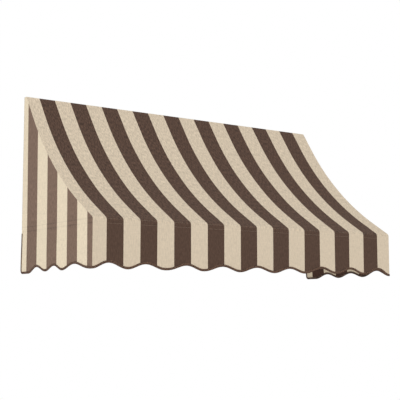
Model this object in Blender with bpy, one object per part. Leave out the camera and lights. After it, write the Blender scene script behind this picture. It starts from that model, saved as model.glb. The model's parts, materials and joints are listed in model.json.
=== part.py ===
"""Concave window awning at its real size: a striped cloth cover on a knock-down frame of square tube.

The cover is a front panel with its valance, two wings and one binding tape. The frame is a head bar
and a front bar, three bowed rafters, two arms and two posts, held together by cast fittings whose
stubs sit inside the tubes, and hung on the wall by five angle brackets.

X runs along the wall, +Y points into it and +Z is up. The wall is the plane Y = 0, and the origin is
the middle of the back face of the middle wall bracket. A side view is drawn in (forward, up) points,
where forward is the distance in front of the wall.
"""

import math

import bmesh
import bpy
from mathutils import Matrix, Vector

# Overall sizes, in metres
width = 1.638
height = 0.781
projection = 0.633
valance_drop = 0.200

# The slope is bowed: a rolled middle with a straight run at each end
bow_radius = 1.433
straight_end = 0.115
bow_steps = 10
break_radius = 0.014
break_steps = 4

# Stock: cloth, tape, square tube, and the clearance between pieces that touch
cloth = 0.001
tape = 0.0008
tube = 0.0191
tube_wall = 0.0016
tube_corner = 0.0025
tube_inner_corner = 0.0017
gap = 0.0003

# Cover
scallop_depth = 0.021
scallop_steps = 8
front_panel_scallops = (0.160, 0.178, 0.191, 0.195, 0.190, 0.184, 0.182, 0.179, 0.179)
left_wing_scallops = (0.2505, 0.1475, 0.1595)
right_wing_scallops = (0.182, 0.182, 0.182)
rear_corner_radius = 0.012
rear_corner_steps = 3
binding_height = 0.008
first_stripe_edge = 0.0576
stripe_width = 0.0801
stripe_growth = 0.00106
wing_rim = 0.0536
wing_stripe_width = 0.0961
wing_stripe_growth = -0.0028

# Wall brackets
bracket_width = 0.050
bracket_height = 0.036
bracket_wall = 0.003
bracket_hole_radius = 0.0033
bracket_hole_spacing = 0.030
bracket_inset = 0.120
post_bracket_rise = 0.070
wall_room = 0.0045

# Fittings
stub_length = 0.025
shoulder = 0.006
ear_length = 0.014
ear_wall = 0.003
binding_end = 0.004

# Screws
shank_radius = 0.0021
screw_head_radius = 0.004
screw_head_height = 0.0022
screw_crown_radius = 0.0024
screw_tip_radius = 0.0005
screw_length = 0.0125
screw_point = 0.003
screw_sides = 8
head_cover_screws = 4
post_cover_screws = 2

# Levels and depths that follow from the sizes above
skin = cloth + gap
head_bottom = bracket_height / 2 + gap
head_top = head_bottom + tube
cover_top = head_top + skin
cover_low = cover_top - height
edge_low = cover_low + tape + gap
break_level = cover_low + valance_drop
bar_back = wall_room
bar_front = wall_room + tube
cover_back = wall_room - skin
slope_start = bar_front + skin
frame_side = width / 2 - skin
frame_inner = frame_side - tube

# The bowed slope: its chord runs from the top bend to the break
chord = Vector((projection - slope_start, height - valance_drop))
half_turn = math.asin(chord.length / 2 / math.hypot(straight_end, bow_radius)) - math.atan2(
    straight_end, bow_radius
)
top_angle = math.atan2(chord.x, chord.y) - half_turn
break_angle = math.atan2(chord.x, chord.y) + half_turn
top_bend = Vector((slope_start, cover_top))
break_point = Vector((projection, break_level))
bend_centre = break_point - Vector((break_radius, break_radius * math.tan(break_angle / 2)))

# The front bar sits as high as the cloth's bend over its upper edge allows
arm_top = bend_centre.y + tube_corner
arm_bottom = arm_top - tube
front_bar_front = projection - skin
front_bar_back = front_bar_front - tube


def along(angle):
    """Unit vector down the slope, where the slope leans this far from upright."""
    return Vector((math.sin(angle), -math.cos(angle)))


def outward(angle):
    """Unit vector out of the slope, towards the weather."""
    return Vector((math.cos(angle), math.sin(angle)))


def bow(depth):
    """The rolled middle of the slope, at a depth below the cloth's outer face."""
    start = top_bend + along(top_angle) * straight_end
    centre = start + outward(top_angle) * bow_radius
    angles = [top_angle + 2 * half_turn * i / bow_steps for i in range(bow_steps + 1)]
    return [centre - outward(angle) * (bow_radius + depth) for angle in angles]


def break_bend(depth):
    """The cloth's bend over the front bar, at a depth below its outer face."""
    angles = [break_angle * (1 - i / break_steps) for i in range(break_steps + 1)]
    return [bend_centre + outward(angle) * (break_radius - depth) for angle in angles]


def below_top(reach, depth):
    """A point on the upper straight run: a reach down the slope from the top bend."""
    return top_bend + along(top_angle) * reach - outward(top_angle) * depth


def above_break(reach, depth):
    """A point on the lower straight run: a reach up the slope from the break."""
    return break_point - along(break_angle) * reach - outward(break_angle) * depth


def reach_at_forward(forward, depth):
    """How far down the upper run its line, at this depth, comes to a distance from the wall."""
    return (forward - slope_start + depth * math.cos(top_angle)) / math.sin(top_angle)


def reach_at_level(level, depth):
    """How far up the lower run its line, at this depth, comes to a level."""
    return (level - break_level + depth * math.sin(break_angle)) / math.cos(break_angle)


# Under the cloth's top bend, where the slope starts at the level of the head bar's top
slope_top = below_top(skin * (1 - math.sin(top_angle)) / math.cos(top_angle), skin)

# Where the undersides of rafter and post, and of rafter and arm, part from each other
rafter_underside = skin + tube
top_crotch = reach_at_forward(bar_front, rafter_underside)
front_crotch = reach_at_level(arm_top, rafter_underside)
rafter_top_reach = top_crotch + shoulder
rafter_front_reach = front_crotch + shoulder
post_top = below_top(top_crotch, rafter_underside).y - shoulder
arm_front = above_break(front_crotch, rafter_underside).x - shoulder


def wave(start, length, steps):
    """One scallop between two lows, as (distance, rise) points; the last low is left to the next."""
    return [
        (start + length * i / steps, scallop_depth * (1 - math.cos(2 * math.pi * i / steps)) / 2)
        for i in range(steps)
    ]


def front_scallops():
    """The lower edge of the front panel, as (x, z) points; its hand-cut scallops fill the width."""
    stretch = width / sum(front_panel_scallops)
    points = []
    start = -width / 2
    for length in front_panel_scallops:
        points += wave(start, length * stretch, scallop_steps)
        start += length * stretch
    points.append((width / 2, 0.0))
    return [Vector((x, edge_low + rise)) for x, rise in points]


def wing_scallops(lengths):
    """The lower edge of a wing, as (forward, up) points from its front corner to the wall."""
    points = []
    start = 0.0
    for length in lengths:
        points += wave(start, length, scallop_steps)
        start += length
    points.append((start, 0.0))
    edge = [Vector((projection - cloth / 2 - distance, edge_low + rise)) for distance, rise in points]
    corner = Vector((cover_back + rear_corner_radius, edge_low + rear_corner_radius))
    for i in range(rear_corner_steps + 1):
        turn = math.pi / 2 * i / rear_corner_steps
        edge.append(corner - Vector((math.sin(turn), math.cos(turn))) * rear_corner_radius)
    return edge


def clear_scene():
    for obj in list(bpy.data.objects):
        bpy.data.objects.remove(obj)


def make_material(name, colour, roughness, metallic=0.0):
    """A plain Principled material; the colour is linear RGB."""
    made = bpy.data.materials.new(name)
    made.use_nodes = True
    shader = made.node_tree.nodes["Principled BSDF"]
    shader.inputs["Base Color"].default_value = (*colour, 1.0)
    shader.inputs["Roughness"].default_value = roughness
    shader.inputs["Metallic"].default_value = metallic
    made.diffuse_color = (*colour, 1.0)
    return made


def make_mesh_object(name, bm, *materials):
    """Turns a finished bmesh into an object."""
    mesh = bpy.data.meshes.new(name)
    bm.to_mesh(mesh)
    bm.free()
    for entry in materials:
        mesh.materials.append(entry)
    obj = bpy.data.objects.new(name, mesh)
    bpy.context.collection.objects.link(obj)
    return obj


def make_object(name, bm, *materials):
    """Turns a closed bmesh into an object with its faces pointing out."""
    bmesh.ops.recalc_face_normals(bm, faces=bm.faces)
    if bm.calc_volume(signed=True) < 0:
        bmesh.ops.reverse_faces(bm, faces=bm.faces)
    return make_mesh_object(name, bm, *materials)


def make_helper(name, bm):
    """A shape that is only added to or cut from others."""
    obj = make_object(name, bm)
    obj.hide_render = True
    obj.display_type = "WIRE"
    return obj


def use_boolean(target, other, operation):
    modifier = target.modifiers.new(other.name, "BOOLEAN")
    modifier.object = other
    modifier.operation = operation


def at(x, point):
    """A (forward, up) point of the side view, in space."""
    return Vector((x, -point[0], point[1]))


def prism(bm, outline, x_start, x_end):
    """A side-view outline drawn out along X."""
    start = [bm.verts.new(at(x_start, point)) for point in outline]
    end = [bm.verts.new(at(x_end, point)) for point in outline]
    bm.faces.new(start)
    bm.faces.new(end[::-1])
    for i in range(len(outline)):
        j = (i + 1) % len(outline)
        bm.faces.new((start[i], end[i], end[j], start[j]))


def block(bm, low, high):
    """A plain box between two corners."""
    size = Vector(high) - Vector(low)
    centre = (Vector(high) + Vector(low)) / 2
    bmesh.ops.create_cube(bm, size=1.0, matrix=Matrix.Translation(centre) @ Matrix.Diagonal((*size, 1.0)))


def rod(bm, start, direction, length, radius, sides=12):
    """A closed cylinder from a start point along a direction."""
    turn = Vector((0, 0, 1)).rotation_difference(direction).to_matrix().to_4x4()
    middle = Vector(start) + Vector(direction) * length / 2
    bmesh.ops.create_cone(
        bm,
        cap_ends=True,
        segments=sides,
        radius1=radius,
        radius2=radius,
        depth=length,
        matrix=Matrix.Translation(middle) @ turn,
    )


def skin_rings(bm, rings, closed_ends):
    """Joins rings of equally many vertices with quads, and fills the two ends."""
    for first, second in zip(rings, rings[1:]):
        for i in range(len(first)):
            j = (i + 1) % len(first)
            bm.faces.new((first[i], first[j], second[j], second[i]))
    if closed_ends:
        bm.faces.new(rings[0])
        bm.faces.new(rings[-1][::-1])


def square_ring(half, corner):
    """A square with cut corners, as (across, up) points."""
    flat = half - corner
    return [
        (half, -flat),
        (half, flat),
        (flat, half),
        (-flat, half),
        (-half, flat),
        (-half, -flat),
        (-flat, -half),
        (flat, -half),
    ]


def square_tube(name, stations):
    """A hollow square tube through stations of (centre, across, up)."""
    bm = bmesh.new()
    skins = []
    for half, corner in ((tube / 2, tube_corner), (tube / 2 - tube_wall, tube_inner_corner)):
        rings = []
        for centre, across, up in stations:
            ring = square_ring(half, corner)
            rings.append([bm.verts.new(centre + across * a + up * b) for a, b in ring])
        skin_rings(bm, rings, closed_ends=False)
        skins.append(rings)
    for end in (0, -1):
        skin_rings(bm, [skins[0][end], skins[1][end]], closed_ends=False)
    return make_object(name, bm, aluminium)


def straight_tube(name, start, end, across):
    """A straight square tube between the middles of its two end faces."""
    up = (end - start).normalized().cross(across)
    return square_tube(name, [(start, across, up), (end, across, up)])


def square_stub(name, start, direction, across, length=stub_length):
    """The square stub of a fitting, which starts inside its body and ends inside a tube."""
    half = tube / 2 - tube_wall - gap
    up = direction.cross(across)
    bm = bmesh.new()
    rings = []
    for place in (start - direction * shoulder / 2, start + direction * length):
        ring = square_ring(half, tube_corner)
        rings.append([bm.verts.new(place + across * a + up * b) for a, b in ring])
    skin_rings(bm, rings, closed_ends=True)
    return make_helper(name, bm)


def make_screw(name, seat, direction, through):
    """A pan head screw whose head sits on a surface, with its hole in each object that it goes through."""
    profile = (
        (screw_crown_radius, -gap - screw_head_height),
        (screw_head_radius, -gap - screw_head_height / 2),
        (screw_head_radius, -gap),
        (shank_radius, -gap),
        (shank_radius, screw_length - screw_point),
        (screw_tip_radius, screw_length),
    )
    turn = Vector((0, 0, 1)).rotation_difference(direction).to_matrix().to_4x4()
    place = Matrix.Translation(seat) @ turn
    bm = bmesh.new()
    rings = []
    for radius, reach in profile:
        ring = []
        for i in range(screw_sides):
            angle = 2 * math.pi * i / screw_sides
            point = Vector((radius * math.cos(angle), radius * math.sin(angle), reach))
            ring.append(bm.verts.new(place @ point))
        rings.append(ring)
    skin_rings(bm, rings, closed_ends=True)
    make_object(name, bm, zinc)
    bm = bmesh.new()
    start = seat - direction * shank_radius
    rod(bm, start, direction, shank_radius + screw_length + gap, shank_radius + gap)
    cutter = make_helper(name + "_hole", bm)
    for target in through:
        use_boolean(target, cutter, "DIFFERENCE")


def stripe_edges(first, start_width, growth, end):
    """Where the stripes change colour: each one is a little wider than the last."""
    edges = []
    place = first
    stripe = start_width
    while place < end:
        edges.append(place)
        place += stripe
        stripe += growth
    return edges


def paint_stripes(bm, edges, normal, distance):
    """Cuts the sheet at the stripes' edges and gives every second band the dark material."""
    for edge in edges:
        everything = bm.verts[:] + bm.edges[:] + bm.faces[:]
        bmesh.ops.bisect_plane(bm, geom=everything, plane_co=normal * edge, plane_no=normal)
    for face in bm.faces:
        passed = sum(edge < distance(face.calc_center_median()) for edge in edges)
        face.material_index = passed % 2


def make_front_panel():
    """The flap behind the head bar, the slope, and the valance with its scalloped edge."""
    side_view = [Vector((cover_back, head_bottom)), Vector((cover_back, cover_top)), top_bend]
    side_view += bow(0.0) + break_bend(0.0)
    bm = bmesh.new()
    left = [bm.verts.new(at(-width / 2, point)) for point in side_view]
    right = [bm.verts.new(at(width / 2, point)) for point in side_view]
    for i in range(len(side_view) - 1):
        bm.faces.new((left[i], right[i], right[i + 1], left[i + 1]))
    edge = [bm.verts.new((point.x, -projection, point.y)) for point in front_scallops()]
    bm.faces.new([right[-1], left[-1]] + edge)
    edges = stripe_edges(first_stripe_edge, stripe_width, stripe_growth, width)
    edges = [place - width / 2 for place in edges]
    paint_stripes(bm, edges, Vector((1, 0, 0)), lambda centre: centre.x)
    bmesh.ops.recalc_face_normals(bm, faces=bm.faces)
    widest = max(bm.faces, key=lambda face: face.calc_area())
    if widest.normal.y > 0:
        bmesh.ops.reverse_faces(bm, faces=bm.faces)
    panel = make_mesh_object("front_panel", bm, tan_cloth, brown_cloth)
    modifier = panel.modifiers.new("Thickness", "SOLIDIFY")
    modifier.thickness = cloth
    modifier.offset = -1.0
    modifier.use_even_offset = True
    return panel


def make_wing(name, side, lengths):
    """A wing under the edge of the front panel, with its flap behind the post."""
    lower = wing_scallops(lengths)
    lower[0].x = front_bar_front
    outline = [
        Vector((cover_back, arm_bottom)),
        Vector((cover_back, head_bottom - gap)),
        Vector((bar_back, head_bottom - gap)),
        Vector((bar_back, head_top)),
        slope_top,
    ]
    outline += bow(skin) + break_bend(skin) + lower
    bm = bmesh.new()
    prism(bm, outline, side * width / 2, side * (width / 2 - cloth))
    edges = stripe_edges(wing_rim, wing_stripe_width, wing_stripe_growth, projection)
    paint_stripes(bm, edges, Vector((0, -1, 0)), lambda centre: -centre.y)
    wing = make_object(name, bm, tan_cloth, brown_cloth)
    bm = bmesh.new()
    flap_x = sorted((side * (width / 2 - cloth / 2), side * frame_inner))
    flap_low = (flap_x[0], -cover_back - cloth, arm_bottom)
    flap_high = (flap_x[1], -cover_back, head_bottom - gap)
    block(bm, flap_low, flap_high)
    use_boolean(wing, make_helper(name + "_flap", bm), "UNION")
    return wing


def wing_binding(side, lengths):
    """The tape's way along a wing, from the front corner to below the arm at the wall."""
    lower = wing_scallops(lengths)
    corner = Vector((cover_back + rear_corner_radius, edge_low + rear_corner_radius))
    x = side * (width / 2 - cloth / 2)
    way = []
    for i, point in enumerate(lower[1:]):
        rounded = i + 1 >= len(lower) - rear_corner_steps - 1
        inward = (corner - point).normalized() if rounded else Vector((0, 1))
        way.append((at(x, point), at(0, inward), Vector((side, 0, 0))))
    top = Vector((cover_back, arm_bottom - binding_end))
    way.append((at(x, top), at(0, Vector((1, 0))), Vector((side, 0, 0))))
    return way


def make_binding():
    """One tape folded over the lower edge of the cover, all the way round."""
    y = -(projection - cloth / 2)
    points = front_scallops()
    up = Vector((0, 0, 1))
    front = [(Vector((point.x, y, point.y)), up, Vector((0, -1, 0))) for point in points]
    corner_x = width / 2 - cloth / 2
    front[0] = (Vector((-corner_x, y, points[0].y)), up, Vector((-1, -1, 0)))
    front[-1] = (Vector((corner_x, y, points[-1].y)), up, Vector((1, -1, 0)))
    way = wing_binding(-1, left_wing_scallops)[::-1] + front + wing_binding(1, right_wing_scallops)
    inner = cloth / 2 + gap
    outer = inner + tape
    section = (
        (binding_height, outer),
        (-gap - tape, outer),
        (-gap - tape, -outer),
        (binding_height, -outer),
        (binding_height, -inner),
        (-gap, -inner),
        (-gap, inner),
        (binding_height, inner),
    )
    bm = bmesh.new()
    rings = []
    for point, inward, outside in way:
        rings.append([bm.verts.new(point + inward * a + outside * b) for a, b in section])
    skin_rings(bm, rings, closed_ends=True)
    return make_object("binding", bm, brown_tape)


def make_rafter(name, x):
    """A tube rolled to the bow, straight at both ends."""
    middle = skin + tube / 2
    across = Vector((1, 0, 0))
    stations = [(below_top(rafter_top_reach + gap, middle), top_angle)]
    for i, point in enumerate(bow(middle)):
        stations.append((point, top_angle + 2 * half_turn * i / bow_steps))
    stations.append((above_break(rafter_front_reach + gap, middle), break_angle))
    return square_tube(name, [(at(x, point), across, at(0, outward(angle))) for point, angle in stations])


def pin_stub(name, fitting, target, start, direction, face):
    """Adds the stub that carries a tube to a fitting, and the screw through tube and stub."""
    across = direction.cross(face).normalized()
    use_boolean(fitting, square_stub(fitting.name + "_" + name, start, direction, across), "UNION")
    seat = start + direction * stub_length / 2 + face * tube / 2
    return seat, -face, (fitting, target)


def make_side_frame(label, side, head_bar, front_bar, rafter):
    """Post, arm and the three corner fittings of one side, with their screws."""
    x_inner = side * frame_inner
    x_outer = side * frame_side
    x = side * (frame_side - tube / 2)
    inward = Vector((-side, 0, 0))
    back = Vector((0, 1, 0))
    up = Vector((0, 0, 1))
    bar_middle = (bar_back + bar_front) / 2
    arm_middle = (arm_top + arm_bottom) / 2
    rafter_middle = skin + tube / 2

    post = straight_tube(
        label + "_post", at(x, (bar_middle, arm_top + gap)), at(x, (bar_middle, post_top - gap)), inward
    )
    arm = straight_tube(
        label + "_arm", at(x, (bar_front + gap, arm_middle)), at(x, (arm_front - gap, arm_middle)), inward
    )

    bm = bmesh.new()
    outline = [
        (bar_back, head_top),
        (bar_front, head_top),
        below_top(rafter_top_reach, skin),
        below_top(rafter_top_reach, rafter_underside),
        below_top(top_crotch, rafter_underside),
        (bar_front, post_top),
        (bar_back, post_top),
    ]
    prism(bm, outline, x_inner, x_outer)
    top = make_object(label + "_top_fitting", bm, cast)

    bm = bmesh.new()
    outline = break_bend(skin) + [
        (front_bar_front, arm_bottom),
        (arm_front, arm_bottom),
        (arm_front, arm_top),
        above_break(front_crotch, rafter_underside),
        above_break(rafter_front_reach, rafter_underside),
        above_break(rafter_front_reach, skin),
    ]
    prism(bm, outline, x_inner, x_outer)
    front = make_object(label + "_front_fitting", bm, cast)

    bm = bmesh.new()
    outline = [(bar_back, arm_bottom), (bar_back, arm_top), (bar_front, arm_top), (bar_front, arm_bottom)]
    prism(bm, outline, x_inner, x_outer)
    wall = make_object(label + "_wall_fitting", bm, cast)

    down_slope = at(0, along(top_angle))
    up_slope = -at(0, along(break_angle))
    rafter_top = below_top(rafter_top_reach, rafter_middle)
    rafter_end = above_break(rafter_front_reach, rafter_middle)
    front_middle = (front_bar_front + front_bar_back) / 2
    pins = [
        pin_stub("bar", top, head_bar, at(x_inner, (bar_middle, head_top - tube / 2)), inward, -up),
        pin_stub("post", top, post, at(x, (bar_middle, post_top)), -up, inward),
        pin_stub("rafter", top, rafter, at(x, rafter_top), down_slope, inward),
        pin_stub("bar", front, front_bar, at(x_inner, (front_middle, arm_middle)), inward, back),
        pin_stub("arm", front, arm, at(x, (arm_front, arm_middle)), back, inward),
        pin_stub("rafter", front, rafter, at(x, rafter_end), up_slope, inward),
        pin_stub("post", wall, post, at(x, (bar_middle, arm_top)), up, inward),
        pin_stub("arm", wall, arm, at(x, (bar_front, arm_middle)), -back, inward),
    ]
    for i, (seat, direction, through) in enumerate(pins):
        make_screw(f"{label}_frame_screw_{i + 1}", seat, direction, through)
    return post


def make_tees(head_bar, front_bar):
    """The two tees that hold the middle rafter, each with an ear on both sides."""
    rafter_middle = skin + tube / 2
    ear_reach = tube / 2 + ear_length
    screw_x = tube / 2 + ear_length / 2
    across = Vector((1, 0, 0))
    face = bar_front + gap
    ear_top = head_top - (ear_wall + screw_head_height) / math.tan(top_angle)

    bm = bmesh.new()
    outline = [
        (face, head_top),
        slope_top,
        below_top(rafter_top_reach, skin),
        below_top(rafter_top_reach, rafter_underside),
        below_top(reach_at_forward(face, rafter_underside), rafter_underside),
    ]
    prism(bm, outline, -tube / 2, tube / 2)
    head_tee = make_object("head_tee", bm, cast)
    bm = bmesh.new()
    block(bm, (-ear_reach, -face - ear_wall, head_bottom), (ear_reach, -face, ear_top))
    use_boolean(head_tee, make_helper("head_tee_ears", bm), "UNION")
    start = at(0, below_top(rafter_top_reach, rafter_middle))
    stub = square_stub("head_tee_stub", start, at(0, along(top_angle)), across)
    use_boolean(head_tee, stub, "UNION")
    for i, x in enumerate((-screw_x, screw_x)):
        seat = Vector((x, -face - ear_wall, (head_bottom + ear_top) / 2))
        make_screw(f"head_tee_screw_{i + 1}", seat, Vector((0, 1, 0)), (head_tee, head_bar))

    face = front_bar_back - gap
    lip = break_bend(skin)[0]
    under = (projection - face - rafter_underside * math.cos(break_angle)) / math.sin(break_angle)
    bm = bmesh.new()
    outline = [
        (lip.x, arm_top + gap),
        (face, arm_top + gap),
        above_break(under, rafter_underside),
        above_break(rafter_front_reach, rafter_underside),
        above_break(rafter_front_reach, skin),
        lip,
    ]
    prism(bm, outline, -tube / 2, tube / 2)
    front_tee = make_object("front_tee", bm, cast)
    bm = bmesh.new()
    block(bm, (-ear_reach, -face, arm_bottom), (ear_reach, -face + ear_wall, arm_top))
    use_boolean(front_tee, make_helper("front_tee_ears", bm), "UNION")
    start = at(0, above_break(rafter_front_reach, rafter_middle))
    stub = square_stub("front_tee_stub", start, -at(0, along(break_angle)), across)
    use_boolean(front_tee, stub, "UNION")
    for i, x in enumerate((-screw_x, screw_x)):
        seat = Vector((x, -face + ear_wall, (arm_bottom + arm_top) / 2))
        make_screw(f"front_tee_screw_{i + 1}", seat, Vector((0, -1, 0)), (front_tee, front_bar))


def make_bracket(name, centre, turn, carried):
    """An angle bracket: one leg on the wall with two holes, one leg along the tube that it carries."""
    place = Matrix.Translation(centre) @ Matrix.Rotation(turn, 4, "Y")
    half = bracket_height / 2
    outline = [
        (0.0, -half),
        (bracket_wall, -half),
        (bracket_wall, half - bracket_wall),
        (bar_front, half - bracket_wall),
        (bar_front, half),
        (0.0, half),
    ]
    bm = bmesh.new()
    prism(bm, outline, -bracket_width / 2, bracket_width / 2)
    bm.transform(place)
    bracket = make_object(name, bm, steel)
    for i, x in enumerate((-bracket_hole_spacing / 2, bracket_hole_spacing / 2)):
        bm = bmesh.new()
        start = Vector((x, bracket_wall, -bracket_wall / 2))
        rod(bm, start, Vector((0, -1, 0)), 3 * bracket_wall, bracket_hole_radius)
        bm.transform(place)
        use_boolean(bracket, make_helper(f"{name}_hole_{i + 1}", bm), "DIFFERENCE")
    seat = place @ at(0, ((bar_back + bar_front) / 2, half - bracket_wall))
    direction = place.to_3x3() @ Vector((0, 0, 1))
    make_screw(name + "_screw", seat, direction, (bracket, carried))


clear_scene()

aluminium = make_material("Mill finish aluminium tube", (0.61, 0.61, 0.62), 0.35, 1.0)
cast = make_material("Cast aluminium", (0.45, 0.45, 0.46), 0.55, 1.0)
steel = make_material("Galvanised steel", (0.50, 0.51, 0.52), 0.45, 1.0)
zinc = make_material("Zinc plated screws", (0.62, 0.61, 0.58), 0.3, 1.0)
tan_cloth = make_material("Tan woven acrylic", (0.645, 0.539, 0.413), 0.9)
brown_cloth = make_material("Brown woven acrylic", (0.095, 0.060, 0.041), 0.9)
brown_tape = make_material("Brown binding tape", (0.085, 0.053, 0.040), 0.85)

# Cover
front_panel = make_front_panel()
wings = {
    -1: make_wing("left_wing", -1, left_wing_scallops),
    1: make_wing("right_wing", 1, right_wing_scallops),
}
make_binding()

# Bars and rafters
half_bar = frame_inner - gap
head_middle = ((bar_back + bar_front) / 2, (head_bottom + head_top) / 2)
front_middle = ((front_bar_back + front_bar_front) / 2, (arm_bottom + arm_top) / 2)
upright = Vector((0, 0, 1))
head_bar = straight_tube("head_bar", at(-half_bar, head_middle), at(half_bar, head_middle), upright)
front_bar = straight_tube("front_bar", at(-half_bar, front_middle), at(half_bar, front_middle), upright)
rafter_x = frame_side - tube / 2
rafters = {-1: make_rafter("left_rafter", -rafter_x), 1: make_rafter("right_rafter", rafter_x)}
make_rafter("middle_rafter", 0.0)

# Side frames and tees
posts = {
    -1: make_side_frame("left", -1, head_bar, front_bar, rafters[-1]),
    1: make_side_frame("right", 1, head_bar, front_bar, rafters[1]),
}
make_tees(head_bar, front_bar)

# Wall brackets
make_bracket("middle_bracket", Vector((0, 0, 0)), 0.0, head_bar)
for side, label in ((-1, "left"), (1, "right")):
    make_bracket(f"{label}_head_bracket", Vector((side * (width / 2 - bracket_inset), 0, 0)), 0.0, head_bar)
    beside_post = Vector((side * (frame_inner - gap - bracket_height / 2), 0, arm_top + post_bracket_rise))
    make_bracket(f"{label}_post_bracket", beside_post, side * math.pi / 2, posts[side])

# Screws that hold the cover's flaps to the back of the frame
for i in range(head_cover_screws):
    x = frame_inner * ((2 * i + 1) / head_cover_screws - 1)
    seat = Vector((x, -cover_back, head_middle[1]))
    make_screw(f"head_cover_screw_{i + 1}", seat, Vector((0, -1, 0)), (front_panel, head_bar))
for side, label in ((-1, "left"), (1, "right")):
    for i in range(post_cover_screws):
        z = arm_top + (post_top - arm_top) * (2 * i + 1) / (2 * post_cover_screws)
        seat = Vector((side * rafter_x, -cover_back, z))
        make_screw(f"{label}_cover_screw_{i + 1}", seat, Vector((0, -1, 0)), (wings[side], posts[side]))
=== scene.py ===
# %% [markdown]
# # The looks of a bowed window awning
# A window awning is a cloth cover sewn to shape and pulled over a light frame of square tube. The frame
# comes in measured, as a fixed model in metres: X runs along the wall, +Y points into the wall and +Z is
# up. This script leaves every frame piece where it is and makes the cover, its edge tape, its stitching,
# the screws and the finish of the metal.

# %% Load the frame
import json
import math

import bpy
from mathutils import Matrix, Vector, noise


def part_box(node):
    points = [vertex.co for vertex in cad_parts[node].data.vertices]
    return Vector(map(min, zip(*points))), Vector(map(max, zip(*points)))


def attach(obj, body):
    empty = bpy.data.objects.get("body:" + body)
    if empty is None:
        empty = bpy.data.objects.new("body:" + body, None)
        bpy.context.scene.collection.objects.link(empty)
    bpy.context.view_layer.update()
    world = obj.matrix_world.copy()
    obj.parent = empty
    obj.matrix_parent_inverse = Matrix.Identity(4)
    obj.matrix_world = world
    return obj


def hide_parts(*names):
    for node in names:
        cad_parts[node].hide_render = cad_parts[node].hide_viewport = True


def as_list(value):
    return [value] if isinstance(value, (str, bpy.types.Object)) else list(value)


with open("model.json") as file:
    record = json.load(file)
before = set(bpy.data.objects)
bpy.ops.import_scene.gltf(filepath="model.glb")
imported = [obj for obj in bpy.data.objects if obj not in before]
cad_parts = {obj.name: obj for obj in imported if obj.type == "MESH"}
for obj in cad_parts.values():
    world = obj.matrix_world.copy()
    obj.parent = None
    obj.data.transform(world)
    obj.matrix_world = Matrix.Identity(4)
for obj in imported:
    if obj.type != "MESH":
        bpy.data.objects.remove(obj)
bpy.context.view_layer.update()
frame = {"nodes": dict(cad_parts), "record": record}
print("frame nodes:", len(frame["nodes"]))

# %% [markdown]
# ## Sizes
# What the frame already knows is read from it: the cover's outer faces, the head bar that it wraps over
# and the arms that end its fold behind the posts. The rest are the few sizes that the frame's boxes
# don't tell, such as the radius of the rolled rafters, written here in metres. The scallops run from
# left to right on the front, and from the front corner back to the wall on the wings, where -1 is the
# left wing and 1 the right one. A crest is the share of its scallop that lies before its highest point.

# %% Sizes of the cover
panel_low, panel_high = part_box("front_panel")
bar_low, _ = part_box("head_bar")
tape_low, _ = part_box("binding")
arm_low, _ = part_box("left_arm")
post_low, post_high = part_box("left_post")

cloth = 0.001
tape = 0.0008
clearance = 0.0003
half_width = panel_high.x
projection = -panel_low.y
cover_top = panel_high.z
cover_back = -panel_high.y
cover_low = tape_low.z
edge_low = cover_low + tape + clearance
valance_drop = 0.200
break_level = cover_low + valance_drop
arm_bottom = arm_low.z
slope_start = -bar_low.y + cloth + clearance

bow_radius = 1.433
straight_end = 0.115
break_radius = 0.018
top_radius = 0.0038
scallop_depth = 0.021
front_scallops = (0.160, 0.178, 0.191, 0.195, 0.190, 0.184, 0.182, 0.179, 0.179)
front_crests = (0.47, 0.49, 0.56, 0.53, 0.50, 0.51, 0.53, 0.555, 0.555)
wing_scallops = {-1: (0.2505, 0.1475, 0.1595), 1: (0.182, 0.182, 0.182)}
wing_crests = {-1: (0.60, 0.48, 0.52), 1: (0.50, 0.50, 0.50)}
rear_corner_radius = 0.016
cover_size = (2 * half_width, projection, cover_top - cover_low)
print("cover, width, depth and height:", [round(length, 4) for length in cover_size])

# %% [markdown]
# ## Camera
# The picture was taken with a long lens from the left and a little below the awning, so the view is
# nearly parallel and the ends of the scallops show the far wing's inside.

# %% Camera
bpy.ops.object.camera_add(
    location=(-2.6868, -3.9418, -0.8887),
    rotation=(math.radians(96.22), 0.0, math.radians(-35.72)),
)
camera = bpy.context.object
camera.data.lens = 88.0
camera.data.sensor_width = 36.0
bpy.context.scene.camera = camera
print("camera lens:", camera.data.lens, "mm")

# %% [markdown]
# ## Colour and nodes
# Colours are written as on a paint card, in sRGB hex, and one function turns them to the linear values
# that a shader needs. Another function adds a node with its settings and its inputs. An input is given
# as a plain value, or as the socket of another node that it links to.

# %% Colour and node helpers
def srgb(code):
    """Linear RGBA of a colour written as #rrggbb."""
    channels = [int(code[i : i + 2], 16) / 255 for i in (1, 3, 5)]
    linear = [c / 12.92 if c <= 0.04045 else ((c + 0.055) / 1.055) ** 2.4 for c in channels]
    return (*linear, 1.0)


def add_node(tree, kind, inputs=None, **settings):
    """Adds one node with its settings, and its inputs as values or as the sockets that they link to."""
    node = tree.nodes.new(kind)
    for name, value in settings.items():
        setattr(node, name, value)
    for name, value in (inputs or {}).items():
        if isinstance(value, bpy.types.NodeSocket):
            tree.links.new(value, node.inputs[name])
        else:
            node.inputs[name].default_value = value
    return node


def new_material(name, roughness, metallic=0.0):
    """A Principled material, with the tree and shader that the finish is built on."""
    material = bpy.data.materials.new(name)
    material.use_nodes = True
    shader = material.node_tree.nodes["Principled BSDF"]
    shader.inputs["Roughness"].default_value = roughness
    shader.inputs["Metallic"].default_value = metallic
    return material, material.node_tree, shader


print("the mid grey #808080 as a linear value:", round(srgb("#808080")[0], 3))

# %% [markdown]
# ## Light
# A product picture of this kind has a white backdrop and hardly any shadow. The world is white wherever
# the camera, a reflection or glass sees it, and lights the object at a plain level elsewhere.

# %% World
ambient_level = 0.62

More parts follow.
